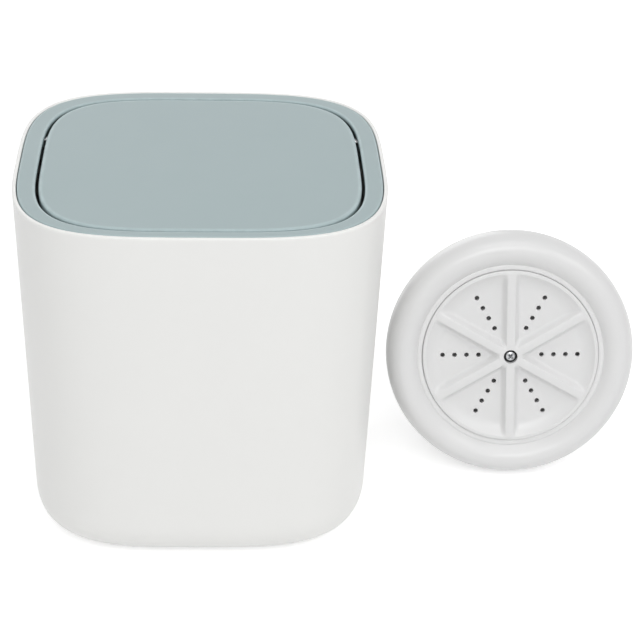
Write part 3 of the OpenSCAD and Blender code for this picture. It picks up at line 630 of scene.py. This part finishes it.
MAKERS = {
    # Roughness, grain, depth of the grain, gloss, mottle and lightening of the edges, which is wear and on the lid
    # a painted highlight
    "tub_plastic": (moulded_plastic, 0.42, 2400.0, 0.10, 0.12, 0.012, 1.12),
    # The lid's marked edges are made 1.7 times lighter: a painted highlight along the edges of frame and flap
    "lid_plastic": (moulded_plastic, 0.50, 2100.0, 0.22, 0.04, 0.02, 1.7),
    "shell_plastic": (moulded_plastic, 0.34, 2600.0, 0.06, 0.25, 0.012, 1.12),
    "dark_plastic": (moulded_plastic, 0.48, 2000.0, 0.20, 0.0, 0.10, 1.12),
    "nylon": (moulded_plastic, 0.46, 1800.0, 0.10, 0.05, 0.03, 1.12),
    # Roughness
    "steel": (metal, 0.30),
    "brass": (metal, 0.34),
    # Roughness and softness
    "dark_rubber": (rubber, 0.62, 0.0),
    "clear_rubber": (rubber, 0.34, 0.12),
    "board": (circuit_board,),
}


def finish(slot):
    """The material of one of the record's finishes, made on its first use."""
    name = f"{slot}_finish"
    if name in bpy.data.materials:
        return bpy.data.materials[name]
    base = tuple(getattr(bpy.context.scene.washer_finishes, slot))
    maker, *values = MAKERS[slot]
    return maker(name, base, *values)


# Mesh helpers


def new_object(name, mesh):
    """A new object in the scene."""
    obj = bpy.data.objects.new(name, mesh)
    bpy.context.scene.collection.objects.link(obj)
    return obj


def mesh_object(name, points, faces):
    """A new object from points and faces."""
    mesh = bpy.data.meshes.new(name)
    mesh.from_pydata([tuple(p) for p in points], [], faces)
    return new_object(name, mesh)


class Section(NamedTuple):
    """One section of a loft, with its shift along Y and its edge mark for paler edges, which is wear and on lid
    and cups a painted highlight.
    """

    half_x: float
    half_y: float
    height: float
    squareness: float = 2.0
    shift: float = 0.0
    edge: float = 0.0


def between(before, after, share):
    """The section with no edge mark, at a share of the way from one section to the next."""
    return Section(*(a + (b - a) * share for a, b in zip(before, after)))._replace(edge=0.0)


def even(points, squareness, edge=0.0):
    """Sections as wide as they are deep, from points (half width, height)."""
    return [Section(r, r, z, squareness, edge=edge) for r, z in points]


def arc(centre_r, centre_z, radius, start, end, steps, upright=None):
    """Points (r, z) on a round arc or one with another upright radius, angles in degrees."""
    upright = radius if upright is None else upright
    turns = np.radians(np.linspace(start, end, steps + 1))
    return [(centre_r + radius * math.cos(t), centre_z + upright * math.sin(t)) for t in turns]


def with_supports(sections, longest, inset):
    """Adds a section near each end of a long straight stretch, so that shading stays flat there."""
    rows = sections[:1]
    for before, after in zip(sections, sections[1:]):
        step_x, step_y, step_z = (abs(b - a) for a, b in zip(before[:3], after[:3]))
        span = math.hypot(max(step_x, step_y), step_z)
        if span > longest:
            rows += [between(before, after, s) for s in (inset / span, 1 - inset / span)]
        rows.append(after)
    return rows


def loft(name, sections, around, slot, sharp=SHARP, longest=0.006, inset=0.0012):
    """A skin over a row of sections, as an object with a plain mesh."""
    sections = with_supports(sections, longest, inset)
    mesh = bpy.data.meshes.new(name)
    mesh.from_pydata([(0.0, 0.0, s.height) for s in sections], [], [])
    for field, values in zip(Section._fields, zip(*sections)):
        layer = mesh.attributes.new(field, "FLOAT", "POINT")
        layer.data.foreach_set("value", [float(v) for v in values])
    obj = run_nodes(
        new_object(name, mesh), section_loft(), Points_around=around, Weld=2e-6,
        Material=finish(slot),
    )
    return tidy_mesh(obj, sharp)


def turned(name, points, around, slot, worn_and_highlit_rows, sharp=SHARP):
    """A round piece turned about Z from points (r, z), some of them marked for paler edges: wear on the unit's
    bead, a painted highlight on the cups.
    """
    sections = [
        Section(r, r, z, edge=float(i in worn_and_highlit_rows)) for i, (r, z) in enumerate(points)
    ]
    return loft(name, sections, around, slot, sharp)


def tidy_mesh(obj, sharp=SHARP):
    """Closes seams and poles, points the faces outwards and keeps sharp edges sharp."""
    work = bmesh.new()
    work.from_mesh(obj.data)
    bmesh.ops.remove_doubles(work, verts=work.verts, dist=1e-6)
    bmesh.ops.dissolve_degenerate(work, dist=1e-7, edges=work.edges)
    bmesh.ops.recalc_face_normals(work, faces=work.faces)
    work.to_mesh(obj.data)
    work.free()
    obj.data.shade_smooth()
    obj.data.set_sharp_from_angle(angle=math.radians(sharp))
    return obj


def joined(obj, others, cuts):
    """Unites other closed pieces with an object and cuts bores, as one closed mesh."""
    for operation, tools in (("UNION", others), ("DIFFERENCE", cuts)):
        for tool in tools:
            modifier = obj.modifiers.new(operation, "BOOLEAN")
            modifier.operation = operation
            modifier.solver = "EXACT"
            modifier.object = tool
    settle(obj)
    for tool in others + cuts:
        spent = tool.data
        bpy.data.objects.remove(tool)
        bpy.data.meshes.remove(spent)
    return tidy_mesh(obj)


def block(name, low, high, round_by=0.0004):
    """A box with rounded edges between two corners."""
    work = bmesh.new()
    bmesh.ops.create_cube(work, size=1.0)
    low, high = Vector(low), Vector(high)
    for vert in work.verts:
        vert.co = [low[i] + (vert.co[i] + 0.5) * (high[i] - low[i]) for i in range(3)]
    bmesh.ops.bevel(
        work, geom=work.edges[:], offset=round_by, segments=2, profile=0.5, affect="EDGES"
    )
    mesh = bpy.data.meshes.new(name)
    work.to_mesh(mesh)
    work.free()
    return new_object(name, mesh)


def directions(around):
    """Evenly spaced angles around an axis."""
    return np.arange(around) * math.tau / around


def band(first, second, around):
    """Faces between two rings of points, each given by the place of its first point."""
    pairs = [(i, (i + 1) % around) for i in range(around)]
    return [(first + i, first + k, second + k, second + i) for i, k in pairs]


def rod(name, ends, radius, y, z, around=64):
    """A round bar along X at a place."""
    points = [
        (x, y + radius * math.cos(turn), z + radius * math.sin(turn))
        for x in sorted(ends) for turn in directions(around)
    ]
    caps = [tuple(range(around)), tuple(range(2 * around - 1, around - 1, -1))]
    return tidy_mesh(mesh_object(name, points, band(0, around, around) + caps))


def width_at(half_x, half_y, y, power):
    """Half width of a rounded-square outline at a distance from its middle."""
    return half_x * (1 - (abs(y) / half_y) ** power) ** (1 / power)


def pin_seats(name, ends, radius, top, bored, bore):
    """Round lugs for the two pivot pins, tied to the plate above, and their bores."""
    _, y, z = joint("flap_swing")["pos_m"]
    lugs, bores = [], []
    for side in (-1, 1):
        low, high = sorted(side * x for x in ends)
        tie = block(name + "_block", (low, y - radius, z), (high, y + radius, top), 0.2 * MM)
        lugs += [rod(name, (low, high), radius, y, z), tie]
        bores.append(rod("bore", [side * x for x in bored], bore, y, z))
    return lugs, bores


def fit(obj, body, slot, *nodes):
    """Puts a finished piece on its body, in place of its CAD nodes."""
    obj.data.materials.clear()
    obj.data.materials.append(finish(slot))
    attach(obj, body)
    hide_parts(*nodes)
    return obj


def stand(obj):
    """Moves a mesh from the turbine unit's own axes to its place, by its pulsator's joint."""
    spin = joint("pulsator_spin")
    upright = Vector(spin["axis"]).normalized()
    right = Vector((0.0, 0.0, 1.0)).cross(upright).normalized()
    place = Matrix((right, upright.cross(right), upright)).transposed().to_4x4()
    floor = bpy.context.scene.washer_pulsator.floor
    place.translation = Vector(spin["pos_m"]) - upright * floor
    obj.data.transform(place)
    return obj


def share_of(value, start, end):
    """How far a value has come from a start to an end, from 0 to 1."""
    return np.clip((value - start) / (end - start), 0.0, 1.0)


def smoothstep(value):
    """A smooth step from 0 to 1."""
    u = np.clip(value, 0.0, 1.0)
    return u * u * (3 - 2 * u)


def soft_max(a, b, width):
    """The larger of two heights, blended over a width."""
    share = np.clip(0.5 + 0.5 * (a - b) / width, 0.0, 1.0)
    return b + (a - b) * share + width * share * (1 - share)


def polar_piece(name, rings, around, sharp=SHARP):
    """A closed round piece from rings of points, each (radius, heights) around the axis."""
    turns = directions(around)
    points, faces = [], []
    for radius, heights in rings:
        heights = np.broadcast_to(heights, turns.shape)
        points += list(zip(radius * np.cos(turns), radius * np.sin(turns), heights))
    for i in range(len(rings)):
        faces += band(i * around, (i + 1) % len(rings) * around, around)
    return tidy_mesh(mesh_object(name, np.array(points, float).tolist(), faces), sharp)


# Operators


class WASHER_OT_tub(Operator):
    """Build the rounded-square wash tub with its lip, rebate and foot ring"""

    bl_idname = "washer.tub"
    bl_label = "Wash tub"

    def execute(self, context):
        s = context.scene.washer_tub
        half, lean = s.rim_width / 2, math.degrees(math.atan(s.slope()))
        seat, lip_round, foot_round = s.height - s.rebate, s.lip / 3, s.foot_recess / 2
        foot, lip_z = s.base_width / 2 - s.bottom_radius, s.height - lip_round
        hollow = foot - s.foot_ring
        outside = [(0.0, s.foot_recess), (hollow, s.foot_recess)]
        outside += arc(hollow + foot_round, foot_round, foot_round, 180, 270, 4)
        outside += arc(foot, s.bottom_radius, s.bottom_radius, -90, -lean, 28)
        lip = arc(half - lip_round, lip_z, lip_round, -lean, 90, 7)
        lip += arc(half - s.lip + lip_round, lip_z, lip_round, 90, 180, 7)
        inside = [(half - s.lip, seat), (s.inside(seat), seat)]
        inside += arc(foot, s.bottom_radius, s.bottom_radius - s.wall, -lean, -90, 24)
        inside += [(0.0, s.wall)]
        sections = even(outside, s.squareness) + even(lip, s.squareness, edge=1.0)
        sections += even(inside, s.squareness)
        tub = loft("tub_shell", sections, s.around, "tub_plastic")
        fit(tub, "tub", "tub_plastic", "tub")
        return {"FINISHED"}


def lid_outline(context):
    """The settings of tub and lid, and the sizes that the lid's frame and flap share."""
    tub, lid = context.scene.washer_tub, context.scene.washer_lid
    frame_half = tub.rim_width / 2 - tub.lip - lid.clearance
    size = SimpleNamespace(
        frame=frame_half,
        open_x=frame_half - lid.side,
        open_y=frame_half - (lid.front + lid.rear) / 2,
        shift=(lid.front - lid.rear) / 2,
        plug=lambda z: tub.inside(z) - lid.clearance,
    )
    size.flap_x, size.flap_y = size.open_x - lid.gap, size.open_y - lid.gap
    return tub, lid, size


class WASHER_OT_lid_frame(Operator):
    """Build the lid's frame with its skirt, pin bearings and flap stops"""

    bl_idname = "washer.lid_frame"
    bl_label = "Lid frame"

    play, land, edge, inner_edge = 0.2 * MM, 1.7 * MM, 0.6 * MM, 0.9 * MM

    def execute(self, context):
        tub, lid, size = lid_outline(context)
        top, power, edge, inner_edge = tub.height, tub.squareness, self.edge, self.inner_edge
        under, bottom = top - lid.plate, top - lid.depth
        seat = top - tub.rebate + self.play
        outer = [(size.plug(z), z) for z in (bottom, seat)]
        outer += [(size.frame - edge, seat), (size.frame, seat + edge)]
        rim = arc(size.frame - edge, top - edge, edge, 0, 90, 5)
        lip = arc(inner_edge, top - inner_edge, inner_edge, 90, 180, 5)
        lip += [(0.0, top - self.land), (lid.plate - self.land, under)]
        inner = [(size.plug(z) - lid.skirt, z) for z in (under, bottom)]
        # Edge marks on the rim and the lip set where the frame gets its painted highlight
        sections = even(outer, power) + even(rim, power, edge=0.6)
        for d, z in lip:
            edge_wear_and_highlight = float(z > top - self.land)
            half_x, half_y = size.open_x + d, size.open_y + d
            sections.append(Section(half_x, half_y, z, lid.squareness, size.shift, edge_wear_and_highlight))
        sections += even(inner, power) + sections[:1]
        ring = loft(
            "lid_ring", sections, tub.around, "lid_plastic", longest=0.004, inset=0.0008
        )
        lugs, bores = self.bearings(tub, lid, size, under)
        joined(ring, lugs + self.stops(tub, lid, size), bores)
        fit(ring, "lid_frame", "lid_plastic", "lid_frame")
        return {"FINISHED"}

    def bearings(self, tub, lid, size, under):
        """The two lugs that carry the pivot pins, and their bores."""
        _, y, z = joint("flap_swing")["pos_m"]
        radius, bore, overlap = lid.pin_radius + 3 * MM, lid.pin_radius + 0.05 * MM, 0.5 * MM
        near, plug = y - size.shift - radius, size.plug(z)
        skirt = width_at(plug, plug, y + radius, tub.squareness) - lid.skirt
        start = width_at(size.open_x, size.open_y, near, lid.squareness) + lid.plate - self.land
        ends, bored = (start, skirt + 0.8 * lid.skirt), (start - MM, skirt)
        return pin_seats("lug", ends, radius, under + overlap, bored, bore)

    def stops(self, tub, lid, size):
        """The two tabs that hold up the flap's front edge."""
        half, thick, overlap, play = 4.5 * MM, 2.5 * MM, 4 * MM, 0.3 * MM
        z, middle = tub.height - lid.flap_rim - play, 0.33 * size.flap_x
        rear, front = size.shift - size.flap_y + overlap, -size.plug(z) + lid.skirt / 2
        return [
            block("stop", (x - half, front, z - thick), (x + half, rear, z))
            for x in (-middle, middle)
        ]


class WASHER_OT_lid_flap(Operator):
    """Build the push-down flap with its rim, ribs and pin ears"""

    bl_idname = "washer.lid_flap"
    bl_label = "Lid flap"

    def execute(self, context):
        tub, lid, size = lid_outline(context)
        edge, taper, small = 1.1 * MM, 0.3 * MM, 0.3 * MM
        top, inner = tub.height, taper + lid.flap_wall
        under, bottom = top - lid.flap_plate, top - lid.flap_rim
        # Rows marked 1.0 along the rounded edge get the flap's painted highlight
        rows = [(edge - r, z, 1.0) for r, z in arc(0.0, top - edge, edge, 90, 0, 6)]
        rows += [
            (taper, bottom + small), (taper + small, bottom), (inner - small, bottom),
            (inner, bottom + small), (inner, under - 2 * small), (inner + 2 * small, under),
        ]

        def ring(inset, z, edge_wear_and_highlight=0.0):
            half_x, half_y = size.flap_x - inset, size.flap_y - inset
            return Section(half_x, half_y, z, lid.squareness, size.shift, edge_wear_and_highlight)

        pole = Section(0.0, 0.0, top, lid.squareness, size.shift)
        sections = [pole] + [ring(*row) for row in rows] + [pole._replace(height=under)]
        flap = loft("lid_flap_panel", sections, tub.around, "lid_plastic")
        joined(flap, *self.stiffeners(lid, size, under, bottom))
        fit(flap, "lid_flap", "lid_plastic", "lid_flap")
        return {"FINISHED"}

    def stiffeners(self, lid, size, under, bottom):
        """The crossed ribs under the plate, the ears on the rim and their bores."""
        y = joint("flap_swing")["pos_m"][1]
        wall, low, high, ear = 0.9 * MM, bottom + 2 * MM, under + 0.5 * MM, 4.5 * MM
        radius, bore = lid.pin_radius + 2 * MM, lid.pin_radius + 0.02 * MM
        far = y - size.shift + radius
        side = width_at(size.flap_x, size.flap_y, far, lid.squareness)
        start, end = side - lid.flap_wall - ear, side - lid.flap_wall / 2
        across, along = start + MM, size.flap_y - lid.flap_wall
        ribs = [
            block("rib_across", (-across, y - wall, low), (across, y + wall, high)),
            block("rib_along", (-wall, size.shift - along, low), (wall, size.shift + along, high)),
        ]
        ears, bores = pin_seats("ear", (start, end), radius, high, (start, side + 2 * MM), bore)
        return ribs + ears, bores


class WASHER_OT_housing(Operator):
    """Build the unit's ring-shaped top shell and its tapered base shell"""

    bl_idname = "washer.housing"
    bl_label = "Turbine housing"

    around = 288
    shoulder_steps, slope_steps = 40, 16
    base_sharp = 28.0

    def execute(self, context):
        u = context.scene.washer_unit
        crest, centre = u.radius - u.shoulder_reach, u.height - u.shoulder_height
        crease, crease_z = crest - u.slope_width, u.height - u.slope_fall
        recess, floor_under = crease - u.bead_width, u.recess_floor - u.wall
        taper, power = math.tan(u.draft), 2 / u.fullness
        lean = math.atan(taper * u.shoulder_height / u.shoulder_reach)
        cone_z = centre - u.shoulder_height * math.sin(lean)
        seam = crest + u.shoulder_reach * math.cos(lean) - taper * (cone_z - u.joint_height)
        seam_z, lowest = u.joint_height + 0.15 * MM, -math.degrees(lean)
        outside = [(seam, seam_z)]
        outside += arc(crest, centre, u.shoulder_reach, lowest, 0, 8, u.shoulder_height)
        for turn in np.linspace(0, math.pi / 2, self.shoulder_steps + 1)[1:]:
            reach, rise = max(math.cos(turn), 0.0) ** power, math.sin(turn) ** power
            outside.append((crest + u.shoulder_reach * reach, centre + u.shoulder_height * rise))
        for i in range(1, self.slope_steps + 1):
            share = i / self.slope_steps
            outside.append((crest - u.slope_width * share, u.height - u.slope_fall * share ** 2))
        half_bead = u.bead_width / 2
        bead = arc(recess + half_bead, crease_z, half_bead, 25, 180, 9, u.bead_rise)
        inside = [
            (recess, u.recess_floor), (u.sleeve_radius, u.recess_floor),
            (u.sleeve_radius, u.sleeve_top), (u.bearing_radius, u.sleeve_top),
            (u.bearing_radius, u.sleeve_bottom), (u.sleeve_radius, u.sleeve_bottom),
            (u.sleeve_radius, floor_under), (recess + u.wall, floor_under),
            (recess + u.wall, crease_z - u.wall), (crest, u.height - u.wall),
        ]
        thin_reach, thin_height = u.shoulder_reach - u.wall, u.shoulder_height - u.wall
        inside += arc(crest, centre, thin_reach, 80, lowest, 14, thin_height)
        inside.append((seam - u.wall, seam_z))
        points = outside + bead + inside + outside[:1]
        worn_and_highlit_rows = range(len(outside), len(outside) + len(bead))
        top = turned("turbine_top_shell", points, self.around, "shell_plastic", worn_and_highlit_rows)
        fit(stand(top), "washer_unit", "shell_plastic", "top_housing")

        skin = frame["nodes"]["base_housing"].data.copy()
        for layer in [item for item in skin.attributes if item.name == "custom_normal"]:
            skin.attributes.remove(layer)
        base = tidy_mesh(new_object("turbine_base_shell", skin), self.base_sharp)
        even_normals = base.modifiers.new("even_normals", "WEIGHTED_NORMAL")
        even_normals.keep_sharp = True
        fit(settle(base), "washer_unit", "shell_plastic", "base_housing")
        return {"FINISHED"}


class WASHER_OT_pulsator(Operator):
    """Build the dished pulsator with its six soft ribs and rows of holes"""

    bl_idname = "washer.pulsator"
    bl_label = "Pulsator"

    around, radial_steps, curve_steps = 540, 72, 8
    flat, rim = 0.78, 0.96  # shares of the radius between which the dish rises
    hole_sharp, drill_depth = 40.0, 8 * MM

    def execute(self, context):
        p = context.scene.washer_pulsator
        rim_round, crease, edge = 0.8 * MM, 0.15 * MM, self.rim * p.radius
        under, hub_wall = p.floor - p.wall, p.hub_foot - 2.6 * MM
        skirt, skirt_in = under - 2 * MM, p.radius - 1.6 * MM
        radii = np.linspace(p.well_radius, p.radius - rim_round, self.radial_steps)
        radii = np.sort(np.append(radii, [edge - crease, edge, edge + crease]))
        curve = np.linspace(edge, self.flat * p.radius, self.curve_steps + 1)
        rings = [(p.bore_radius, p.hub_bottom), (p.bore_radius, p.hub_seat)]
        rings += [(p.screw_hole, p.hub_seat), (p.screw_hole, p.well_floor)]
        rings += [(p.well_radius, p.well_floor)]
        rings += [(r, self.heights(p, r)) for r in radii]
        rings += arc(p.radius - rim_round, p.floor + p.rise - rim_round, rim_round, 75, 0, 5)
        rings += [(p.radius, skirt), (skirt_in, skirt), (skirt_in, under + p.rise)]
        rings += [(r, under + float(self.lift(p, r))) for r in curve]
        rings += [(p.hub_foot, under), (hub_wall, under), (hub_wall, p.hub_bottom)]
        disc = run_nodes(
            polar_piece("pulsator_disc", rings, self.around), perforation(), Rows=p.rib_count,
            Holes=p.row_holes, First=p.hole_start, Step=p.hole_step, Radius=p.hole_radius,
            Height=p.floor, Depth=self.drill_depth,
            Start=p.rib_start + math.pi / p.rib_count, Material=finish("shell_plastic"),
        )
        tidy_mesh(disc, self.hole_sharp)
        fit(stand(disc), "pulsator", "shell_plastic", "pulsator")
        return {"FINISHED"}

    def lift(self, p, r):
        """Rise of the dish above its floor at a radius."""
        return p.rise * share_of(r, self.flat * p.radius, self.rim * p.radius) ** 2

    def heights(self, p, r):
        """Heights of the upper face around the axis at a radius."""
        turns, pitch, rim = directions(self.around), math.tau / p.rib_count, self.rim * p.radius
        crown_rise, rim_drop, rim_land, end_rise = 0.3 * MM, 0.5 * MM, 0.02 * p.radius, 0.3 * MM
        hub_drop, hub_inset, hub_blend, fillet, bulge = 0.2 * MM, 0.6 * MM, 0.5 * MM, 2.6, 0.78
        off = (turns - p.rib_start + pitch / 2) % pitch - pitch / 2
        across = np.abs(r * np.sin(off))
        dish = p.floor + self.lift(p, r)
        crest_top, crest_end = p.floor + p.rib_height, p.floor + p.rise + end_rise
        crest = crest_top + (crest_end - crest_top) * share_of(r, p.well_radius, rim)
        crest -= rim_drop * smoothstep((r - rim) / rim_land)
        crown = crown_rise * np.minimum(across / p.rib_crest, 1.0) ** 2
        fall = share_of(across, p.rib_crest, p.rib_foot)
        side = (1 - fall) ** fillet * (1 + bulge * fall)
        rib = dish + np.maximum(crest - crown - dish, 0.0) * side
        flare = 1 - smoothstep((r - p.hub_radius + hub_inset) / (p.hub_foot - p.hub_radius))
        hub = np.full_like(turns, p.floor + (crest_top - hub_drop - p.floor) * flare)
        blend = hub_blend * min(1.0, 4 * float(flare))
        return soft_max(rib, hub, max(blend, 1e-6)) - blend / 4


class WASHER_OT_suction_cups(Operator):
    """Build the three suction cups under the base"""

    bl_idname = "washer.suction_cups"
    bl_label = "Suction cups"

    cups, first_cup = 3, math.radians(30)
    around, hollow_steps, skirt_steps = 72, 60, 14
    hollow_power, skirt_power, sharp = 1.7, 1.4, 40.0
    ridge_height, ridge_width, ridge_places = 0.35 * MM, 0.035, (0.5, 0.74)
    pale_ridge, pale_lip = 0.15 * MM, 0.95  # from there on ridges and lip are paler, a painted highlight

    def execute(self, context):
        u = context.scene.washer_unit
        mouth, depth, lip_z, skirt_z = 0.97 * u.cup_radius, 4.6 * MM, 0.35 * MM, 0.7 * MM
        collar, neck = u.stem_radius + 1.5 * MM, u.cup_height - 2.7 * MM
        under, inside = u.cup_height - 0.05 * MM, u.cup_height + u.wall
        knob, tip, knob_top = u.stem_radius + MM, u.stem_radius - 0.5 * MM, inside + 2.2 * MM
        shares = np.linspace(0.0, 1.0, self.hollow_steps + 1)
        points = [
            (mouth * t, depth * (1 - t ** self.hollow_power) - self.ridges(t)) for t in shares
        ]
        # Rows on the ridges and the lip get a painted highlight: a paler colour
        pale = [
            i for i, t in enumerate(shares)
            if self.ridges(t) > self.pale_ridge or t > self.pale_lip
        ]
        points.append((u.cup_radius, lip_z))
        points += [
            (u.cup_radius - (u.cup_radius - collar) * t, skirt_z + neck * t ** self.skirt_power)
            for t in np.linspace(0.0, 1.0, self.skirt_steps + 1)
        ]
        points += [
            (collar, under), (u.stem_radius, under), (u.stem_radius, inside),
            (knob, inside + 0.02 * MM), (knob, inside + MM), (tip, knob_top), (0.0, knob_top),
        ]
        cup = turned("suction_cup_set", points, self.around, "clear_rubber", pale, self.sharp)
        run_nodes(
            cup, ring_of_copies(), Count=self.cups, Circle=u.cup_circle, Start=self.first_cup,
            Material=finish("clear_rubber"),
        )
        tidy_mesh(cup, self.sharp)
        fit(stand(cup), "washer_unit", "clear_rubber", "suction_cups")
        return {"FINISHED"}

    def ridges(self, share):
        """Height of the two sealing ridges at a share of the cup's radius."""
        return sum(
            self.ridge_height * math.exp(-((share - at) / self.ridge_width) ** 2)
            for at in self.ridge_places
        )


class WASHER_OT_screw(Operator):
    """Build the cross-recessed screw that holds the pulsator"""

    bl_idname = "washer.screw"
    bl_label = "Pulsator screw"

    around, head_steps, sharp = 160, 30, 42.0
    head, head_height, head_round, head_edge = 2.6 * MM, 1.8 * MM, 0.35 * MM, 0.8 * MM
    shank, shank_length, core, pole = 1.5 * MM, 7.9 * MM, 1.1 * MM, 0.02 * MM
    thread_start, thread_end, thread_depth, pitch = 7.2 * MM, 0.5 * MM, 0.3 * MM, 0.5 * MM
    dome, cross_turn, cross_half, cross_reach = 0.5 * MM, math.radians(40), 0.55 * MM, 1.8 * MM
    cross_depth, pit_depth, pit_radius = MM, 2.2 * MM, 1.2 * MM
    rubber_washer = 0.8 * MM

    def execute(self, context):
        seat = context.scene.washer_pulsator.well_floor + self.rubber_washer
        tip, top = seat - self.shank_length, seat + self.head_height
        shoulder, root = self.head - self.head_round, self.shank - self.thread_depth
        rings = [(self.pole, tip), (self.core, tip)]
        for z in np.arange(seat - self.thread_start, seat - self.thread_end, self.pitch):
            rings += [(root, z), (self.shank, z + self.pitch / 2)]
        rings += [(self.shank, seat), (self.head, seat)]
        rings += arc(shoulder, top - self.head_edge, self.head_round, 0, 70, 4)
        radii = np.linspace(self.pole, shoulder, self.head_steps)
        rings += [(r, self.crown(r, top)) for r in radii[::-1]]
        screw = polar_piece("pulsator_screw_head", rings, self.around, self.sharp)
        fit(stand(screw), "pulsator", "steel", "pulsator_screw")
        return {"FINISHED"}

    def crown(self, r, top):
        """Heights of the domed head with its cross recess."""
        turns = directions(self.around) + self.cross_turn
        half, reach = self.cross_half, self.cross_reach
        x, y = np.abs(r * np.cos(turns)), np.abs(r * np.sin(turns))
        dome = top - self.dome * (r / self.head) ** 2
        arm = np.minimum(np.maximum(x / reach, y / half), np.maximum(y / reach, x / half))
        depth = self.cross_depth + self.pit_depth * max(0.0, 1 - r / self.pit_radius)
        return dome - depth * (1 - smoothstep((arm - 0.75) / 0.3))


class WASHER_OT_inner_pieces(Operator):
    """Give the drive, seals, board and pins their finishes"""

    bl_idname = "washer.inner_pieces"
    bl_label = "Drive, seals and board"

    def execute(self, context):
        slots = {row["node"]: row["material_slot"] for row in frame["record"]["subparts"]}
        for name, node in frame["nodes"].items():
            if node.hide_render:
                continue
            material = finish(slots[name])
            if not node.material_slots:
                node.data.materials.append(material)
            for place in node.material_slots:
                place.material = material
        return {"FINISHED"}


class WASHER_OT_stage(Operator):
    """Set the floor, the even light, four soft lamps and the camera"""

    bl_idname = "washer.stage"
    bl_label = "Stage"

    # Place and width of each lamp, and the point that all of them face
    lamps = {
        "front": ((0.0, -1.75, 1.45), 1.1),
        "right": ((1.25, -1.05, 1.55), 0.9),
        "top": ((0.1, -0.3, 1.9), 1.2),
        "back": ((-0.2, 2.1, 0.55), 1.0),
    }
    aim = (0.06, 0.0, 0.08)
    floor_reach, floor_glow = 6.0, 0.5

    def execute(self, context):
        s, scene = context.scene.washer_stage, context.scene
        scene.view_settings.view_transform = "Standard"
        self.floor(s)
        self.sky(s)
        for side, (place, size) in self.lamps.items():
            self.lamp(f"{side}_softbox", place, size, getattr(s, side))
        camera = bpy.data.cameras.new("camera")
        camera.lens = s.lens
        camera.sensor_width = 36.0
        camera.clip_end = 50.0
        scene.camera = new_object("camera", camera)
        scene.camera.location = s.eye
        turn = Matrix.Rotation(-s.yaw, 4, "Z") @ Matrix.Rotation(math.pi / 2 - s.pitch, 4, "X")
        scene.camera.rotation_euler = (turn @ Matrix.Rotation(s.roll, 4, "Z")).to_euler()
        return {"FINISHED"}

    def floor(self, s):
        """A wide pale floor that shows white to the camera and keeps the shadow."""
        far = self.floor_reach
        corners = [(-far, -far, 0.0), (far, -far, 0.0), (far, far, 0.0), (-far, far, 0.0)]
        floor = mesh_object("floor", corners, [(0, 1, 2, 3)])
        paper = Finish("floor_paper")
        material = paper.shaded({
            "Base Color": (*s.floor_colour, 1.0),
            "Roughness": 0.9,
            "Specular IOR Level": 0.0,
            "Emission Color": WHITE,
            "Emission Strength": paper.seen() * self.floor_glow,
        })
        floor.data.materials.append(material)

    def sky(self, s):
        """Even light from all round that shows white to the camera."""
        world = bpy.data.worlds.new("studio")
        bpy.context.scene.world = world
        world.use_nodes = True
        tree, sky = Tree(world.node_tree), world.node_tree.nodes["Background"]
        seen = tree.seen()
        tree.feed(sky.inputs["Color"], WHITE)
        tree.feed(sky.inputs["Strength"], seen + (1.0 - seen) * s.sky)

    def lamp(self, name, place, size, power):
        """A square soft lamp that faces the aim."""
        light = bpy.data.lights.new(name, "AREA")
        light.shape = "SQUARE"
        light.size = size
        light.energy = power
        lamp = new_object(name, light)
        lamp.location = place
        facing = Vector(self.aim) - Vector(place)
        lamp.rotation_euler = facing.to_track_quat("-Z", "Y").to_euler()


class WASHER_PT_pieces(Panel):
    """Lists the pieces of the washer in the order they are built"""

    bl_label = "Mini washer"
    bl_idname = "WASHER_PT_pieces"
    bl_space_type = "VIEW_3D"
    bl_region_type = "UI"
    bl_category = "Mini washer"

    def draw(self, context):
        for operator in OPERATORS:
            self.layout.operator(operator.bl_idname)


OPERATORS = (
    WASHER_OT_stage,
    WASHER_OT_tub,
    WASHER_OT_lid_frame,
    WASHER_OT_lid_flap,
    WASHER_OT_housing,
    WASHER_OT_pulsator,
    WASHER_OT_suction_cups,
    WASHER_OT_screw,
    WASHER_OT_inner_pieces,
)
SETTINGS = {
    "washer_tub": TubSizes,
    "washer_lid": LidSizes,
    "washer_unit": UnitSizes,
    "washer_pulsator": PulsatorSizes,
    "washer_finishes": Finishes,
    "washer_stage": StageSettings,
}
CLASSES = (*SETTINGS.values(), *OPERATORS, WASHER_PT_pieces)


def register():
    """Registers the classes and the scene's settings."""
    for item in CLASSES:
        bpy.utils.register_class(item)
    for name, group in SETTINGS.items():
        setattr(bpy.types.Scene, name, PointerProperty(type=group))


def unregister():
    """Takes the settings and classes away again."""
    for name in SETTINGS:
        delattr(bpy.types.Scene, name)
    for item in reversed(CLASSES):
        bpy.utils.unregister_class(item)


def main():
    """Builds everything in order."""
    register()
    bpy.ops.washer.stage()
    bpy.ops.washer.tub()
    bpy.ops.washer.lid_frame()
    bpy.ops.washer.lid_flap()
    bpy.ops.washer.housing()
    bpy.ops.washer.pulsator()
    bpy.ops.washer.suction_cups()
    bpy.ops.washer.screw()
    bpy.ops.washer.inner_pieces()


if __name__ == "__main__":
    main()
